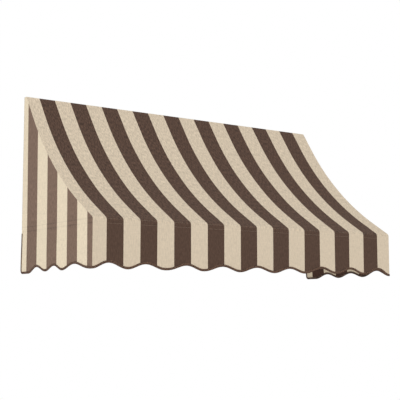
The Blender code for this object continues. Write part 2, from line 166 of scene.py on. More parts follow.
scene = bpy.context.scene
scene.view_settings.view_transform = "Standard"
world = bpy.data.worlds.new("white studio")
scene.world = world
world.use_nodes = True
sky = world.node_tree
sky.nodes.clear()
rays = add_node(sky, "ShaderNodeLightPath")
seen = add_node(
    sky,
    "ShaderNodeMath",
    {0: rays.outputs["Is Camera Ray"], 1: rays.outputs["Is Glossy Ray"]},
    operation="ADD",
)
shown = add_node(
    sky,
    "ShaderNodeMath",
    {0: seen.outputs[0], 1: rays.outputs["Is Transmission Ray"]},
    operation="ADD",
    use_clamp=True,
)
ambient = add_node(sky, "ShaderNodeBackground", {"Color": srgb("#ffffff"), "Strength": ambient_level})
backdrop = add_node(sky, "ShaderNodeBackground", {"Color": srgb("#ffffff"), "Strength": 1.0})
mixed = add_node(
    sky,
    "ShaderNodeMixShader",
    {0: shown.outputs[0], 1: ambient.outputs[0], 2: backdrop.outputs[0]},
)
add_node(sky, "ShaderNodeOutputWorld", {"Surface": mixed.outputs[0]})
print("world:", world.name + ", ambient level", ambient_level)

# %% [markdown]
# One broad lamp in front and above gives the cloth its form, and one on the left lifts the wing, as in
# the picture.

# %% Lamps
front_lamp_power = 95.0
side_lamp_power = 60.0


def add_lamp(name, place, target, size, power):
    """A square area lamp at a place, aimed at a target."""
    bpy.ops.object.light_add(type="AREA", location=place)
    lamp = bpy.context.object
    lamp.name = name
    lamp.data.size = size
    lamp.data.energy = power
    lamp.rotation_euler = (Vector(target) - Vector(place)).to_track_quat("-Z", "Y").to_euler()
    print(name + ":", power, "W")


awning_middle = (0.0, -0.35, -0.35)
add_lamp("front_lamp", (0.5, -5.2, 1.9), awning_middle, size=3.0, power=front_lamp_power)
add_lamp("side_lamp", (-4.6, -1.2, 0.2), awning_middle, size=2.5, power=side_lamp_power)

# %% [markdown]
# The pale floor lies well below the awning. It fades into the backdrop away from it, and seen from below
# it isn't there.

# %% Floor
floor_level = -2.40
floor_size = 16.0
floor_lift = 0.25
floor_fade = (3.0, 7.6)

bpy.ops.mesh.primitive_plane_add(size=floor_size, location=(0.0, -0.3, floor_level))
floor = bpy.context.object
floor.name = "studio_floor"
floor_paint, floor_tree, floor_shader = new_material("Pale studio floor", roughness=0.9)
floor_shader.inputs["Base Color"].default_value = srgb("#f4f3f1")
floor_shader.inputs["Specular IOR Level"].default_value = 0.1
floor_shader.inputs["Emission Color"].default_value = srgb("#ffffff")
floor_rays = add_node(floor_tree, "ShaderNodeLightPath")
floor_glow = add_node(
    floor_tree,
    "ShaderNodeMath",
    {0: floor_rays.outputs["Is Camera Ray"], 1: floor_lift},
    operation="MULTIPLY",
)
floor_tree.links.new(floor_glow.outputs[0], floor_shader.inputs["Emission Strength"])
floor_side = add_node(floor_tree, "ShaderNodeNewGeometry")
floor_place = add_node(floor_tree, "ShaderNodeTexCoord")
floor_reach = add_node(
    floor_tree,
    "ShaderNodeVectorMath",
    {0: floor_place.outputs["Object"]},
    operation="LENGTH",
)
floor_end = add_node(
    floor_tree,
    "ShaderNodeMapRange",
    {"Value": floor_reach.outputs["Value"], "From Min": floor_fade[0], "From Max": floor_fade[1]},
    interpolation_type="SMOOTHSTEP",
)
floor_gone = add_node(
    floor_tree,
    "ShaderNodeMath",
    {0: floor_end.outputs["Result"], 1: floor_side.outputs["Backfacing"]},
    operation="MAXIMUM",
)
floor_clear = add_node(floor_tree, "ShaderNodeBsdfTransparent")
floor_mix = add_node(
    floor_tree,
    "ShaderNodeMixShader",
    {0: floor_gone.outputs[0], 1: floor_shader.outputs[0], 2: floor_clear.outputs[0]},
)
floor_tree.links.new(floor_mix.outputs[0], floor_tree.nodes["Material Output"].inputs["Surface"])
floor.data.materials.append(floor_paint)
print("floor:", floor_size, "m wide, at a level of", floor_level, "m")

# %% [markdown]
# ## The cloth's way over the frame
# Seen from the side, the panel starts behind the head bar, turns over it, runs down the rolled rafters,
# turns over the front bar and hangs as the valance. That is a route of straight runs and arcs, so it is
# drawn like one: each step adds stations that hold the distance along the cloth, the place and the
# heading. A point of the side view is (forward, up), where forward is the distance from the wall.

# %% The side view as a route
def unit(angle):
    """The unit vector at an angle in the side view."""
    return Vector((math.cos(angle), math.sin(angle)))


def run_straight(route, length, steps):
    """Adds a straight run in the present heading."""
    start, place, heading = route[-1]
    for i in range(1, steps + 1):
        route.append((start + length * i / steps, place + unit(heading) * (length * i / steps), heading))


def run_arc(route, radius, turn, steps):
    """Adds an arc; a turn above zero bends the heading up, one below zero bends it down."""
    start, place, heading = route[-1]
    side = math.copysign(math.pi / 2, turn)
    centre = place + unit(heading + side) * radius
    for i in range(1, steps + 1):
        bent = turn * i / steps
        spot = centre - unit(heading + side + bent) * radius
        route.append((start + radius * abs(bent), spot, heading + bent))


chord = Vector((projection - slope_start, cover_top - break_level))
bow_reach = math.hypot(straight_end, bow_radius)
half_turn = math.asin(chord.length / 2 / bow_reach) - math.atan2(straight_end, bow_radius)
chord_lean = math.atan2(chord.x, chord.y)
top_heading = chord_lean - half_turn - math.pi / 2
break_heading = chord_lean + half_turn - math.pi / 2
top_tangent = top_radius * math.tan(-top_heading / 2)
break_tangent = break_radius * math.tan((break_heading + math.pi / 2) / 2)

route = [(0.0, Vector((cover_back, bar_low.z)), math.pi / 2)]
run_straight(route, cover_top - bar_low.z - top_radius, steps=3)
run_arc(route, top_radius, -math.pi / 2, steps=5)
run_straight(route, slope_start - cover_back - top_radius - top_tangent, steps=3)
top_row = len(route) - 1
run_arc(route, top_radius, top_heading, steps=4)
run_straight(route, straight_end - top_tangent, steps=12)
run_arc(route, bow_radius, break_heading - top_heading, steps=56)
run_straight(route, straight_end - break_tangent, steps=10)
break_row = len(route) - 1
run_arc(route, break_radius, -math.pi / 2 - break_heading, steps=10)
hang_row = len(route) - 1
run_straight(route, valance_drop - break_tangent - tape - clearance, steps=30)
panel_length = route[-1][0]
slope_end = route[break_row][0]
hang_start = route[hang_row][0]
end_error = (route[-1][1] - Vector((projection, edge_low))).length
print("panel length:", round(panel_length, 4), "m")
print("the route misses its end by", round(end_error * 1000, 3), "mm")

# %% [markdown]
# ## How the cloth lies
# Stretched acrylic is never quite flat. Between the rafters it stands a few millimetres proud, the
# valance below the front bar swings a little in and out, and the loose lower end of each wing leans away
# from the wall bracket, much more on the right. Every cover piece, tape and stitch uses the same few
# functions, so they stay together.

# %% Small moves of the cloth
proud = 0.0030
swing = 0.0016
swing_pitch = 0.39
swing_phase = 0.8
ripple = 0.0010
ripple_size = 0.22
tab_drop = {-1: 0.005, 1: 0.001}
wing_lean = {-1: 0.002, 1: 0.030}
lean_start = 0.01
# Powers of a share: the higher, the narrower the strip beside a held edge that feels the hold
slope_hold = 8
valance_hold = 6
# Another power of a share: the higher, the nearer to the wall a wing keeps its lean
lean_hold = 1.5
# Layers of the noise, so that no two parts of the cover ripple alike
slope_layer = 0.0
valance_layer = 5.0
wing_layer = 9.0


def smooth(value):
    """From 0 to 1 with a soft start and a soft end."""
    value = min(max(value, 0.0), 1.0)
    return value * value * (3 - 2 * value)


def unevenness(across, along, layer):
    """Soft noise at a place on the cloth, from about -1 to 1."""
    return noise.noise(Vector((across / ripple_size, along / ripple_size, layer)))


def slope_lift(x, distance):
    """How far the panel stands proud of its route, at a place across and a distance along it."""
    down = (distance - route[top_row][0]) / (slope_end - route[top_row][0])
    if not 0 < down < 1:
        return 0.0
    between = math.sin(math.pi * x / half_width) ** 2
    rough = unevenness(x, distance, slope_layer)
    edge = 1 - abs(x / half_width) ** slope_hold
    return math.sin(math.pi * down) * (proud * between + ripple * rough * edge)


def valance_swing(x, level):
    """How far the valance stands forward of plumb; its two corners are held by the wings."""
    down = smooth((break_level - level) / valance_drop)
    edge = 1 - abs(x / half_width) ** valance_hold
    rough = unevenness(x, level, valance_layer)
    sway = math.sin(2 * math.pi * x / swing_pitch + swing_phase)
    return down * edge * (swing * sway / 2 + swing * rough)


def wing_swing(side, forward, level):
    """How far a wing stands out from its plane; it is held along the slope, the post and the arm."""
    down = smooth((arm_bottom + lean_start - level) / (arm_bottom - cover_low))
    back = 1 - forward / projection
    rough = unevenness(forward, level, wing_layer + side)
    bulge = math.sin(math.pi * min(max(back, 0.0), 1.0))
    return down * (wing_lean[side] * back**lean_hold + 2 * ripple * rough * bulge)


def slope_at(x, distance, place, heading):
    """A point of the slope, from its station on the route."""
    lifted = place + unit(heading + math.pi / 2) * slope_lift(x, distance)
    return Vector((x, -lifted.x, lifted.y))


def valance_at(x, level, depth=0.0):
    """A point of the valance, at a depth behind its outer face."""
    return Vector((x, -(projection + valance_swing(x, level) - depth), level))


def wing_at(side, forward, level, depth=0.0):
    """A point of a wing, at a depth inside its outer face."""
    return Vector((side * (half_width + wing_swing(side, forward, level) - depth), -forward, level))


for side in (-1, 1):
    lean = wing_swing(side, cover_back, edge_low)
    print("wing", side, "leans out by", round(lean * 1000, 1), "mm at its lower rear corner")

# %% [markdown]
# ## The scalloped edge
# The lower edge looks cut by hand. It is a row of soft waves, nine along the front, not all equal in
# length, and their crests lie a little before or past the middle. They rise more near the two front
# corners, and towards the right the hem is a few millimetres short. The rear tab of a wing hangs lower.

# %% The lower edge
corner_rise = 0.22
corner_power = 4
wing_corner_rise = {-1: 0.22, 1: 0.65}
short_hem = 0.0045
short_start = 0.22
short_run_in = 0.15
short_run_out = 0.06
sewn_share = 0.7


def wave(share, crest):
    """The rise of the edge at a share of the way through one scallop with its crest."""
    bent = share ** (math.log(0.5) / math.log(crest))
    return scallop_depth * (1 - math.cos(2 * math.pi * bent)) / 2


def front_edge(x):
    """The level of the front edge."""
    passed = (x + half_width) * sum(front_scallops) / (2 * half_width)
    for length, crest in zip(front_scallops, front_crests):
        if passed <= length:
            break
        passed -= length
    short = short_hem * smooth((x - short_start) / short_run_in) * smooth((half_width - x) / short_run_out)
    rise = 1 + corner_rise * (x / half_width) ** corner_power
    return edge_low + short + wave(min(passed / length, 1.0), crest) * rise


def wing_edge(side, forward):
    """The level of a wing's edge at a distance from the wall, with the rounded rear corner."""
    passed = projection - forward
    for number, (length, crest) in enumerate(zip(wing_scallops[side], wing_crests[side])):
        if passed <= length:
            share = max(passed / length, 0.0)
            rise = wing_corner_rise[side] * (1 - share) if number == 0 else 0.0
            last = number == len(wing_scallops[side]) - 1
            drop = tab_drop[side] * smooth(2 * share - 1) if last else 0.0
            return edge_low + wave(share, crest) * (1 + rise) - drop
        passed -= length
    inset = max(cover_back + rear_corner_radius - forward, 0.0)
    corner = rear_corner_radius - math.sqrt(max(rear_corner_radius**2 - inset**2, 0.0))
    return edge_low - tab_drop[side] + corner


slope_line = []
for _, place, heading in route[top_row : hang_row + 1]:
    slope_line.append(place - unit(heading + math.pi / 2) * cloth * sewn_share)


def wing_top(forward):
    """The level of a wing's sewn edge, just under the panel's outer face."""
    if forward <= slope_line[0][0]:
        return slope_line[0][1]
    for (x0, z0), (x1, z1) in zip(slope_line, slope_line[1:]):
        if x0 <= forward <= x1:
            return z0 + (z1 - z0) * (forward - x0) / (x1 - x0)
    return slope_line[-1][1]


print(len(front_scallops), "front scallops, from", min(front_scallops), "to", max(front_scallops), "m")

# %% [markdown]
# ## Laying a flat cut on the frame
# A sheet starts as a grid primitive. Its UV map keeps the flat cut in metres, which is what a weave
# follows, and each point is then moved to where the cloth lies. The sheet has two material slots, so
# that its inner face can have a finish of its own.

# %% Grid to cloth
def select_only(piece):
    """Deselects everything else and makes a piece the active one."""
    bpy.ops.object.select_all(action="DESELECT")
    piece.select_set(True)
    bpy.context.view_layer.objects.active = piece


def lay_sheet(name, columns, rows, cut, place):
    """A grid whose point (i, j) is cut at cut(i, j) on the flat cloth and lies at place(i, j)."""
    grid_size = 2.0
    bpy.ops.object.select_all(action="DESELECT")
    bpy.ops.mesh.primitive_grid_add(
        x_subdivisions=columns, y_subdivisions=rows, size=grid_size, calc_uvs=True
    )
    piece = bpy.context.object
    piece.name = name
    piece.data.name = name
    for _ in ("outside", "inside"):
        piece.data.materials.append(None)
    indices = []
    for vertex in piece.data.vertices:
        i = round((vertex.co.x / grid_size + 0.5) * columns)
        j = round((vertex.co.y / grid_size + 0.5) * rows)
        indices.append((i, j))
    for vertex, (i, j) in zip(piece.data.vertices, indices):
        vertex.co = place(i, j)
    flat = piece.data.uv_layers.active.data
    for loop in piece.data.loops:
        flat[loop.index].uv = cut(*indices[loop.vertex_index])
    return piece


def apply_modifier(piece, kind, **settings):
    """Adds a modifier with its settings and applies it."""
    modifier = piece.modifiers.new(kind.title(), kind)
    for name, value in settings.items():
        setattr(modifier, name, value)
    select_only(piece)
    bpy.ops.object.modifier_apply(modifier=modifier.name)


def face_away_from(piece, inside):
    """Turns a sheet's faces round if they look at a point on its inner side."""
    mesh = piece.data
    lean = sum((face.center - inside).dot(face.normal) * face.area for face in mesh.polygons)
    if lean < 0:
        select_only(piece)
        bpy.ops.object.mode_set(mode="EDIT")
        bpy.ops.mesh.select_all(action="SELECT")
        bpy.ops.mesh.flip_normals()
        bpy.ops.object.mode_set(mode="OBJECT")


inside_point = Vector((0.0, -0.15, -0.55))

# %% [markdown]
# ## The front panel
# One piece of cloth makes the flap, the slope and the valance. The columns are close enough for a soft
# scallop, and the rows follow the route's own stations, so the bends over the bars stay round.

# %% Front panel
panel_columns = 180


def panel_cut(i, j):
    """Where a point of the panel is cut on the flat cloth."""
    return (2 * half_width * i / panel_columns, route[j][0])


def panel_place(i, j):
    """Where a point of the panel lies: on the slope, or on the valance, which ends in scallops."""
    x = -half_width + 2 * half_width * i / panel_columns
    if j <= break_row:
        return slope_at(x, *route[j])
    distance, place, _ = route[j]
    rise = (front_edge(x) - edge_low) * smooth((distance - hang_start) / (panel_length - hang_start))
    level = place.y + rise
    return Vector((x, -(place.x + valance_swing(x, level)), level))


front_cloth = lay_sheet("front_cloth", panel_columns, len(route) - 1, panel_cut, panel_place)
face_away_from(front_cloth, inside_point)
apply_modifier(front_cloth, "SOLIDIFY", thickness=cloth, offset=-1.0, material_offset=1)
print("front panel:", len(front_cloth.data.polygons), "faces")

# %% [markdown]
# ## The wings
# A wing is a flat piece between the slope, the wall and the scalloped edge. Behind the post it is folded
# over and screwed, and below the arm its rear edge hangs free. The grid makes the flat part; the fold is
# extruded from the rear edge above the arm, and its corner is bevelled to the radius of bent cloth.

# %% A wing's columns and its rear edge
corner_columns = 7
wing_columns = 104
wing_rows = 56
fold_width = post_high.x - post_low.x
fold_gap = 0.002
fold_top = bar_low.z - fold_gap
fold_radius = 0.0015
tolerance = 0.00001


def wing_forward(i):
    """How far a wing's column stands from the wall: close together at the rounded rear corner."""
    if i <= corner_columns:
        return cover_back + rear_corner_radius * (1 - math.cos(math.pi / 2 * i / corner_columns))
    start = cover_back + rear_corner_radius
    return start + (projection - cloth - start) * (i - corner_columns) / (wing_columns - corner_columns)


def on_rear_edge(point):
    """Whether a point lies on a wing's rear edge, between the arm and the head bar."""
    at_back = -point.y < cover_back + tolerance
    return at_back and arm_bottom - tolerance < point.z < fold_top + tolerance


def select_rear_edge(wing, side=None):
    """Selects, in edit mode, the wing's rear edge above the arm; with a side, only the corner there."""
    mesh = wing.data
    bpy.ops.object.mode_set(mode="EDIT")
    bpy.ops.mesh.select_mode(type="EDGE")
    bpy.ops.mesh.select_all(action="DESELECT")
    bpy.ops.object.mode_set(mode="OBJECT")
    for edge in mesh.edges:
        ends = [mesh.vertices[index].co for index in edge.vertices]
        edge.select = all(on_rear_edge(end) for end in ends)
        if side:
            edge.select = edge.select and all(side * end.x > half_width - fold_radius for end in ends)
    bpy.ops.object.mode_set(mode="EDIT")


print("the fold is", round(fold_width, 4), "m wide and", round(fold_top - arm_bottom, 4), "m high")

# %% [markdown]
# The grid of a wing gets a row of edges level with the arm's underside and one just below the head bar,
# so that the fold can start and end there. The fold's part of the UV map goes on where the flat part
# ends, as if the cloth were spread out.

# %% Wings
def make_wing(name, side):
    """The flat part of a wing with its fold behind the post, as one sheet with a thickness."""

    def level(i, j):
        forward = wing_forward(i)
        low = wing_edge(side, forward)
        return low + (wing_top(forward) - low) * j / wing_rows

    def cut(i, j):
        return (wing_forward(i), level(i, j))

    def place(i, j):
        return wing_at(side, wing_forward(i), level(i, j))

    wing = lay_sheet(name, wing_columns, wing_rows, cut, place)
    select_only(wing)
    for end in (arm_bottom, fold_top):
        bpy.ops.object.mode_set(mode="EDIT")
        bpy.ops.mesh.select_all(action="SELECT")
        bpy.ops.mesh.bisect(plane_co=(0.0, 0.0, end), plane_no=(0.0, 0.0, 1.0))
        bpy.ops.object.mode_set(mode="OBJECT")
    select_rear_edge(wing)
    bpy.ops.mesh.extrude_region_move(TRANSFORM_OT_translate={"value": (-side * fold_width, 0.0, 0.0)})
    select_rear_edge(wing, side)
    bpy.ops.mesh.bevel(offset=fold_radius, segments=3, affect="EDGES")
    bpy.ops.object.mode_set(mode="OBJECT")
    flat = wing.data.uv_layers.active.data
    for face in wing.data.polygons:
        if -face.center.y < cover_back + fold_radius and side * face.center.x < half_width:
            for index in face.loop_indices:
                corner = wing.data.vertices[wing.data.loops[index].vertex_index].co
                flat[index].uv = (-corner.y - (half_width - side * corner.x), corner.z)
    face_away_from(wing, inside_point)
    apply_modifier(wing, "SOLIDIFY", thickness=cloth, offset=-1.0, material_offset=1)
    print(name + ":", len(wing.data.polygons), "faces")
    return wing


left_wing_cloth = make_wing("left_wing_cloth", -1)
right_wing_cloth = make_wing("right_wing_cloth", 1)

# %% [markdown]
# ## The edge tape
# A braided tape is folded over the whole lower edge and sewn through. It runs from below the left arm,
# down the wing's loose rear edge, along the scallops of wing, front and wing, and up again. First comes
# its way: a row of stations on the cloth's edge, each with the direction that points into the cloth.

# %% The tape's way
tape_end_gap = 0.004
front_steps = 270
wing_steps = 96
rear_steps = 24


def wing_track(side):
    """Places along a wing's edge from the front corner to below the arm, as (forward, level) points."""
    track = []
    front = projection - cloth / 2
    for i in range(wing_steps + 1):
        forward = front - (front - cover_back - rear_corner_radius) * i / wing_steps
        track.append((forward, wing_edge(side, forward)))
    corner_forward = cover_back + rear_corner_radius
    corner_level = edge_low - tab_drop[side] + rear_corner_radius
    for i in range(1, corner_columns + 1):
        turn = math.pi / 2 * i / corner_columns
        forward = corner_forward - rear_corner_radius * math.sin(turn)
        track.append((forward, corner_level - rear_corner_radius * math.cos(turn)))
    end = arm_bottom - tape_end_gap
    for i in range(1, rear_steps + 1):
        track.append((cover_back, corner_level + (end - corner_level) * i / rear_steps))
    return track


def inward_normals(track):
    """At each point of a flat track, the unit normal on its left side."""
    normals = []
    for i in range(len(track)):
        before = Vector(track[max(i - 1, 0)])
        after = Vector(track[min(i + 1, len(track) - 1)])
        step = (after - before).normalized()
        normals.append(Vector((-step.y, step.x)))
    return normals


def tape_stations():
    """The tape's way, as (part, side or corner, place across, level, way across, way up) stations.

    The last two point into the sheet. A front station's corner is -1 or 1 at its ends and 0 elsewhere.
    """
    stations = []
    for side in (-1, 1):
        track = wing_track(side)
        normals = inward_normals([(-forward, level) for forward, level in track])
        part = []
        for (forward, level), normal in zip(track, normals):
            part.append(("wing", side, forward, level, -normal.x, normal.y))
        if side > 0:
            stations += part[1:]
            continue
        stations += part[:0:-1]
        track = []
        for i in range(front_steps + 1):
            x = (half_width - cloth / 2) * (2 * i / front_steps - 1)
            track.append((x, front_edge(x)))
        for i, ((x, level), normal) in enumerate(zip(track, inward_normals(track))):
            corner = {0: -1, front_steps: 1}.get(i, 0)
            stations.append(("front", corner, x, level, normal.x, normal.y))
    return stations


tape_way = tape_stations()
print("the tape's way:", len(tape_way), "stations")

# %% [markdown]
# The section of the tape is a soft U. It is laid along the way as a narrow grid, and given its thickness
# after its finish, so that the rows of the grid can still be told apart by then.

# %% Edge tape
tape_height = 0.0083
tape_swell = 0.0007
tape_rows = 14
fold_share = 0.4


def tape_point(station, height, depth):
    """A point of the tape, at a height into the cloth from its edge and a depth inward of its middle."""
    part, side, across, level, lean, up = station
    if part == "wing":
        return wing_at(side, across + lean * height, level + up * height, cloth / 2 + depth)
    if side == 0:
        return valance_at(across + lean * height, level + up * height, cloth / 2 + depth)
    corner = valance_at(across, level + height, cloth / 2 + depth)
    return corner + Vector((-side * depth, 0.0, 0.0))


def tape_section(j):
    """The U of the tape at row j, as (height, depth); it starts on the outside."""
    around = j / tape_rows * 2 - 1
    side = math.copysign(1.0, around)
    reach = cloth / 2 + clearance + tape
    if abs(around) > fold_share:
        share = (abs(around) - fold_share) / (1 - fold_share)
        return (tape_height * share, side * (reach + tape_swell * math.sin(math.pi * share)))
    turn = around / fold_share * math.pi / 2
    return (-reach * math.cos(turn), reach * math.sin(turn))


tape_lengths = [0.0]
for first, second in zip(tape_way, tape_way[1:]):
    step = tape_point(second, 0.0, 0.0) - tape_point(first, 0.0, 0.0)
    tape_lengths.append(tape_lengths[-1] + step.length)

edge_tape = lay_sheet(
    "edge_tape",
    len(tape_way) - 1,
    tape_rows,
    lambda i, j: (tape_lengths[i], 2 * tape_height * j / tape_rows),
    lambda i, j: tape_point(tape_way[i], *tape_section(j)),
)
print("edge tape:", round(tape_lengths[-1], 3), "m long,", len(edge_tape.data.polygons), "faces")

# %% [markdown]
# ## Stitching
# Outdoor cloth is sewn with a thick polyester thread, which shows as rows of small raised dashes. One
# stitch is modelled, a capsule with tapered ends, and copied along each seam: two rows where the cloth
# is held over the front bar and the arms, one along each edge of the tape, one beside each seam
# between panel and wing, and one in each hem behind the head bar and the posts. Real stitches are about
# 3 mm long; these are a little coarser, so that they show.

# %% One stitch, and rows of them
stitch_pitch = 0.0046
stitch_length = 0.0034
thread_radius = 0.00042


def make_stitch():
    """A short thread lying along X, thickest in its middle."""
    bpy.ops.object.select_all(action="DESELECT")
    bpy.ops.mesh.primitive_uv_sphere_add(
        segments=6, ring_count=5, radius=1.0, rotation=(0.0, math.pi / 2, 0.0)
    )
    stitch = bpy.context.object
    stitch.scale = (thread_radius, thread_radius, stitch_length / 2)
    bpy.ops.object.transform_apply(location=False, rotation=True, scale=True)
    return stitch


def points_along(line, pitch):
    """Evenly spaced places on a polyline, each with its direction and its outward normal."""
    lengths = [0.0]
    for (first, _), (second, _) in zip(line, line[1:]):
        lengths.append(lengths[-1] + (second - first).length)
    count = int(lengths[-1] / pitch)
    spots = []
    run = 0
    for number in range(count):
        reach = (number + 0.5) * lengths[-1] / count
        while lengths[run + 1] < reach:
            run += 1
        share = (reach - lengths[run]) / (lengths[run + 1] - lengths[run])
        (first, normal), (second, _) = line[run], line[run + 1]
        spots.append((first.lerp(second, share), (second - first).normalized(), normal))
    return spots


def add_piece(name, mesh):
    """An object of its own for a mesh, at the origin."""
    piece = bpy.data.objects.new(name, mesh)
    bpy.context.collection.objects.link(piece)
    return piece


def sew(name, lines):
    """One piece with a stitch at each place of several lines of (point, outward normal)."""
    base = make_stitch()
    shape = [vertex.co.copy() for vertex in base.data.vertices]
    faces = [list(face.vertices) for face in base.data.polygons]
    points = []
    sides = []
    for line in lines:
        for place, direction, normal in points_along(line, stitch_pitch):
            across = normal.cross(direction).normalized()
            up = direction.cross(across)
            start = len(points)
            points += [place + direction * co.x + across * co.y + up * co.z for co in shape]
            sides += [[start + index for index in face] for face in faces]
    bpy.data.objects.remove(base)
    mesh = bpy.data.meshes.new(name)
    mesh.from_pydata(points, [], sides)
    print(name + ":", len(points) // len(shape), "stitches,", len(sides), "faces")
    return add_piece(name, mesh)


# %% [markdown]
# The rows are drawn with the same functions as the cloth. The middle of each stitch lies on the cloth's
# face, so it is half sunk in it. Each row is a list of points with the outward normal there.

# %% Rows on the panel and the wings
bar_seams = (arm_bottom + 0.0218, arm_bottom + 0.0033)
seam_inset = 0.006
row_margin = 0.004
corner_gap = 0.010
seam_low = edge_low + tape_height + scallop_depth / 4
valance_row_steps = 200
wing_row_steps = 80
wing_seam_steps = 40


def valance_row(level):
    """A level row across the valance, over the front bar."""
    reach = half_width - row_margin
    xs = [reach * (2 * i / valance_row_steps - 1) for i in range(valance_row_steps + 1)]
    return [(valance_at(x, level), Vector((0.0, -1.0, 0.0))) for x in xs]


def wing_row(side, level):
    """A level row across a wing, over the arm."""
    start = cover_back + row_margin
    reach = projection - row_margin - start
    forwards = [start + reach * i / wing_row_steps for i in range(wing_row_steps + 1)]
    return [(wing_at(side, forward, level), Vector((side, 0.0, 0.0))) for forward in forwards]


def panel_seam(side):
    """The row beside one long edge of the panel, down the slope and the valance."""
    x = side * (half_width - seam_inset)
    line = []
    for distance, place, heading in route[top_row:]:
        out = unit(heading + math.pi / 2)
        normal = Vector((0.0, -out.x, out.y))
        if distance <= slope_end:
            line.append((slope_at(x, distance, place, heading), normal))
        elif distance <= hang_start:
            line.append((Vector((x, -place.x, place.y)), normal))
        elif place.y > seam_low:
            line.append((valance_at(x, place.y), normal))
    return line


def wing_seam(side):
    """The row beside a wing's sewn edge, down the slope and the front corner."""
    line = []
    outward = Vector((side, 0.0, 0.0))
    for _, place, heading in route[top_row:hang_row]:
        inner = place - unit(heading + math.pi / 2) * (seam_inset + cloth)
        if inner.x > cover_back + seam_inset:
            line.append((wing_at(side, inner.x, inner.y), outward))
    forward = projection - seam_inset
    top = line[-1][0].z - corner_gap
    for i in range(wing_seam_steps + 1):
        level = top + (seam_low - top) * i / wing_seam_steps
        line.append((wing_at(side, forward, level), outward))
    return line


def wing_lines(side):
    """All rows of one wing."""
    return [wing_row(side, level) for level in bar_seams] + [wing_seam(side)]


front_lines = [valance_row(level) for level in bar_seams] + [panel_seam(-1), panel_seam(1)]
front_thread = sew("front_thread", front_lines)
left_wing_thread = sew("left_wing_thread", wing_lines(-1))
right_wing_thread = sew("right_wing_thread", wing_lines(1))

# %% [markdown]
# The tape is sewn through near its edges, so one row shows on its outer face and one on its inner face.
# The hems behind the head bar and the posts have a row each.

# %% Rows on the hems and the tape
tape_seam_share = 0.82


def tape_seam(depth_side):
    """The row along one edge of the tape: -1 is its outer face and 1 the inner one."""
    line = []
    height = tape_height * tape_seam_share
    swell = tape_swell * math.sin(math.pi * tape_seam_share)
    depth = depth_side * (cloth / 2 + clearance + tape + swell)
    for station in tape_way:
        if station[0] == "wing":
            outward = Vector((station[1], 0.0, 0.0))
        else:
            outward = Vector((0.0, -1.0, 0.0))
        line.append((tape_point(station, height, depth), -outward * depth_side))
    return line


def hem_rows():
    """A row in the hem behind the head bar and one in the fold behind each post."""
    outward = Vector((0.0, 1.0, 0.0))
    reach = half_width - seam_inset
    level = bar_low.z + seam_inset
    rows = [[(Vector((x, -cover_back, level)), outward) for x in (-reach, reach)]]
    ends = (arm_bottom + seam_inset, fold_top - seam_inset)
    for side in (-1, 1):
        x = side * (half_width - fold_width + seam_inset)
        rows.append([(Vector((x, -cover_back, z)), outward) for z in ends])
    return rows


hem_thread = sew("hem_thread", hem_rows())
tape_thread = sew("tape_thread", [tape_seam(-1), tape_seam(1)])

# %% [markdown]
# ## Solution-dyed acrylic canvas
# The cover is woven from acrylic yarn that is coloured through before it is spun, in broad tan and brown
# bands. It is a plain weave, matt and slightly uneven: yarns differ a little in thickness and tone, so
# faint slubs run both ways through the cloth, over a grain of single yarns. The grain is partly the yarns'
# own tone and partly a painted sheen where they catch the light, painted strongest where the light skims
# the slope. The threads are about 0.5 mm apart, too fine to show from a few metres: the weave's bump is
# drawn at 1.6 mm, the grain at 5 mm by 18 mm along the warp and the slubs at 3.5 mm by 60 mm.

# %% Yarns of the canvas
weave_pitch = 0.0016
slub_width = 0.0035
slub_length = 0.060
slub_tone = 0.07
grain_width = 0.0048
grain_length = 0.018
grain_and_sheen_tone = {"tan": 0.24, "brown": 0.60}


def wave_scale(pitch):
    """The Scale that sets a Wave texture's bands a pitch apart: they repeat every pi / (10 * Scale)."""
    return math.pi / 10 / pitch


def slubs(tree, flat, width, length):
    """Noise drawn out along one direction of the flat cloth."""
    stretch = add_node(
        tree,
        "ShaderNodeMapping",
        {"Vector": flat.outputs[0], "Scale": (1 / width, 1 / length, 1.0)},
    )
    return add_node(
        tree,
        "ShaderNodeTexNoise",
        {"Vector": stretch.outputs[0], "Scale": 1.0, "Detail": 2.0, "Roughness": 0.6},
    )


print("a weave of", weave_pitch * 1000, "mm asks for a Scale of", round(wave_scale(weave_pitch), 1))

# %% [markdown]
# Where a seam pulls the cloth in, a crease catches less light, and that shade is painted into the colour as
# two soft dark lines. The brown yarn shows the painted crease shade and the grain's painted sheen more than
# the tan yarn does, so how deep they go is given for both.

# %% Creases and shading
crease_shade_width = 0.0035
crease_shade_tone = {"tan": 0.10, "brown": 0.36}


def crease_shade_mask(tree, level):
    """Where the painted crease shade goes: from 1 in two soft lines, where the seams pull the cloth in, to
    0 beside them.
    """
    middle = sum(bar_seams) / 2
    apart = abs(bar_seams[0] - bar_seams[1]) / 2
    away = add_node(tree, "ShaderNodeMath", {0: level, 1: middle}, operation="SUBTRACT")
    both = add_node(tree, "ShaderNodeMath", {0: away.outputs[0]}, operation="ABSOLUTE")
    past = add_node(tree, "ShaderNodeMath", {0: both.outputs[0], 1: apart}, operation="SUBTRACT")
    reach = add_node(tree, "ShaderNodeMath", {0: past.outputs[0]}, operation="ABSOLUTE")
    return add_node(
        tree,
        "ShaderNodeMapRange",
        {"Value": reach.outputs[0], "From Max": crease_shade_width, "To Min": 1.0, "To Max": 0.0},
        interpolation_type="SMOOTHSTEP",
    )


def shaded(tree, tone, factor, dark, depths):
    """Lowers a tone by a factor, as deep as the band asks: the brown yarn shows it more than the tan. It
    paints the crease shade and the grain's sheen into the colour.
    """
    depth = add_node(
        tree,
        "ShaderNodeMapRange",
        {"Value": dark, "To Min": depths["tan"], "To Max": depths["brown"]},
    )
    loss = add_node(tree, "ShaderNodeMath", {0: factor, 1: depth.outputs["Result"]}, operation="MULTIPLY")
    kept = add_node(tree, "ShaderNodeMath", {0: 1.0, 1: loss.outputs[0]}, operation="SUBTRACT")
    return add_node(tree, "ShaderNodeMath", {0: tone, 1: kept.outputs[0]}, operation="MULTIPLY").outputs[0]
